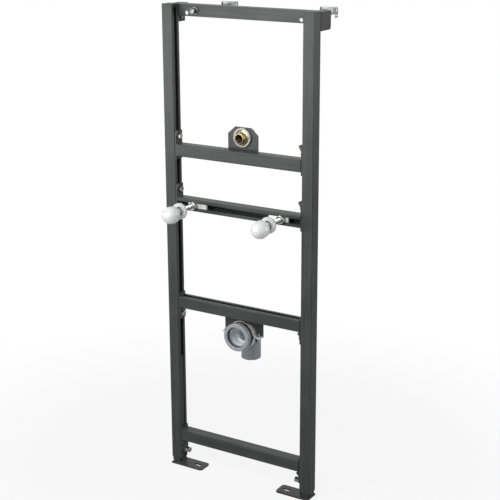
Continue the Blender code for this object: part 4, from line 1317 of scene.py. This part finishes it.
def ribbed_lining(name):
    """Rubber lining with a lip at its front that stands outside the band."""
    low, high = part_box("clamp_lining")
    depth = high.y - low.y
    outer = (high.x - low.x) / 2
    profile = [(LINING_THICKNESS, depth), (LINING_THICKNESS, 0), (0.0006, 0), (0, 0.0006),
               (0, LINING_LIP_WIDTH - 0.0006), (0.0008, LINING_LIP_WIDTH),
               (0.0008, depth - 0.0004), (0.0012, depth)]
    rings = [(outer - inset, height) for inset, height in profile]
    return stack(name, rings, ROUND, rubber, Y_AXIS, (mid_x, low.y, drain_z))


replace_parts(ribbed_lining("clamp_rubber"), "clamp_lining")
print("lining thickness in mm:", LINING_THICKNESS * 1000)

# %% [markdown]
# ## Light, floor and background
#
# The background is white for the camera and in reflections, while the light on the object stays
# plain, so colours render about as they are written. A Light Path node tells the two apart.

# %% World
WORLD_LEVEL = 0.21

world = bpy.data.worlds.new("studio")
bpy.context.scene.world = world
world.use_nodes = True
studio = Tree(world.node_tree)
ray = studio.node("ShaderNodeLightPath", {})
seen = ray.out("Is Camera Ray") + ray.out("Is Glossy Ray") + ray.out("Is Transmission Ray")
background = world.node_tree.nodes["Background"]
studio.join(background.inputs["Color"], (1, 1, 1))
studio.join(background.inputs["Strength"], studio.ramp(seen, 0, 1, WORLD_LEVEL, 1))
print("level of the world on the object:", WORLD_LEVEL)

# %% [markdown]
# ## Floor
#
# Without any shadow a frame seems to float. The floor is pale and matt, and glows for the camera
# alone. Near the object the glow holds a part back, which leaves a faint shadow. Further out it
# is complete, so the floor runs into the white background without a horizon.

# %% Floor
FLOOR_SIZE = 14.0
FLOOR_DROP = 0.0002
FLOOR_TONE = (0.62, 0.62, 0.62)
SHADOW_SHARE = 0.13
SHADOW_REACH = (0.45, 1.30)

bpy.ops.mesh.primitive_plane_add(size=FLOOR_SIZE,
                                 location=(mid_x, 0, cad_box[0][2] - FLOOR_DROP))
floor = bpy.context.object
floor.name = "floor"
paint = Finish("floor", "floor", {"Base Color": FLOOR_TONE, "Roughness": 0.9,
                                  "Specular IOR Level": 0.0})
away = paint.node("ShaderNodeVectorMath", {"operation": "LENGTH"}, paint.place).out("Value")
share = paint.ramp(away, *SHADOW_REACH, 1 - SHADOW_SHARE, 1.0)
seen = paint.node("ShaderNodeLightPath", {}).out("Is Camera Ray")
glow = paint.node("ShaderNodeEmission", {})
surface = paint.node("ShaderNodeMixShader", {}, seen * share,
                     Wire(paint, paint.shader.outputs[0]), glow)
paint.join(paint.nodes.nodes["Material Output"].inputs["Surface"], surface)
floor.data.materials.append(paint.material)
print("shadow reaches, m:", SHADOW_REACH)

# %% [markdown]
# ## Lamps
#
# A large soft source high in front lets the frame grow darker from its top to its feet. The
# satin front faces mirror what stands low at the front left, so a second box there gives them
# their sheen. A box at the back right keeps the outer sides readable. Places are measured from
# the middle between the uprights.

# %% Lamps
LAMPS = {
    "key": {"power": 25, "size": (1.3, 0.9), "place": (-0.05, -1.2, 1.6), "aim": 1.27},
    "sheen": {"power": 15, "size": (0.9, 0.5), "place": (-1.25, -1.75, 0.72), "aim": 1.25},
    "side": {"power": 17, "size": (1.0, 1.2), "place": (1.8, 1.1, 1.0), "aim": 0.6},
}

for name, lamp in LAMPS.items():
    light = bpy.data.lights.new(name, "AREA")
    light.energy = lamp["power"]
    light.shape = "RECTANGLE"
    light.size, light.size_y = lamp["size"]
    box = bpy.data.objects.new(name, light)
    box.location = Vector(lamp["place"]) + X_AXIS * mid_x
    aim = Vector((mid_x, 0, lamp["aim"]))
    box.rotation_euler = (aim - box.location).to_track_quat("-Z", "Y").to_euler()
    box.visible_camera = False
    bpy.context.scene.collection.objects.link(box)
print("lamps:", len(LAMPS))

# %% [markdown]
# ## Camera
#
# The photograph looks down on the frame from the front right with a rather long lens. The
# camera was fitted to the frame's edges, and its direction comes from three angles.

# %% Camera
LOOK_LEFT = math.radians(31.708)
LOOK_DOWN = math.radians(16.751)
ROLL = math.radians(-0.23)
FOCAL_PIXELS = 1230.3
PICTURE_PIXELS = 500
SENSOR_MM = 36.0
CAMERA_FROM_MIDDLE = Vector((1.5344, -2.4231, 1.4818))

forward = Vector((-math.sin(LOOK_LEFT) * math.cos(LOOK_DOWN),
                  math.cos(LOOK_LEFT) * math.cos(LOOK_DOWN), -math.sin(LOOK_DOWN)))
level_right = forward.cross(Z_AXIS).normalized()
level_up = level_right.cross(forward)
right = level_right * math.cos(ROLL) + level_up * math.sin(ROLL)
up = level_up * math.cos(ROLL) - level_right * math.sin(ROLL)

lens = bpy.data.cameras.new("camera")
lens.sensor_width = SENSOR_MM
lens.lens = SENSOR_MM * FOCAL_PIXELS / PICTURE_PIXELS
camera = bpy.data.objects.new("camera", lens)
camera.matrix_world = (Matrix.Translation(CAMERA_FROM_MIDDLE + Vector((mid_x, front_y, 0)))
                       @ Matrix((right, up, -forward)).transposed().to_4x4())
bpy.context.scene.collection.objects.link(camera)
bpy.context.scene.camera = camera
bpy.context.scene.view_settings.view_transform = "Standard"
print("focal length in mm:", round(lens.lens, 2))
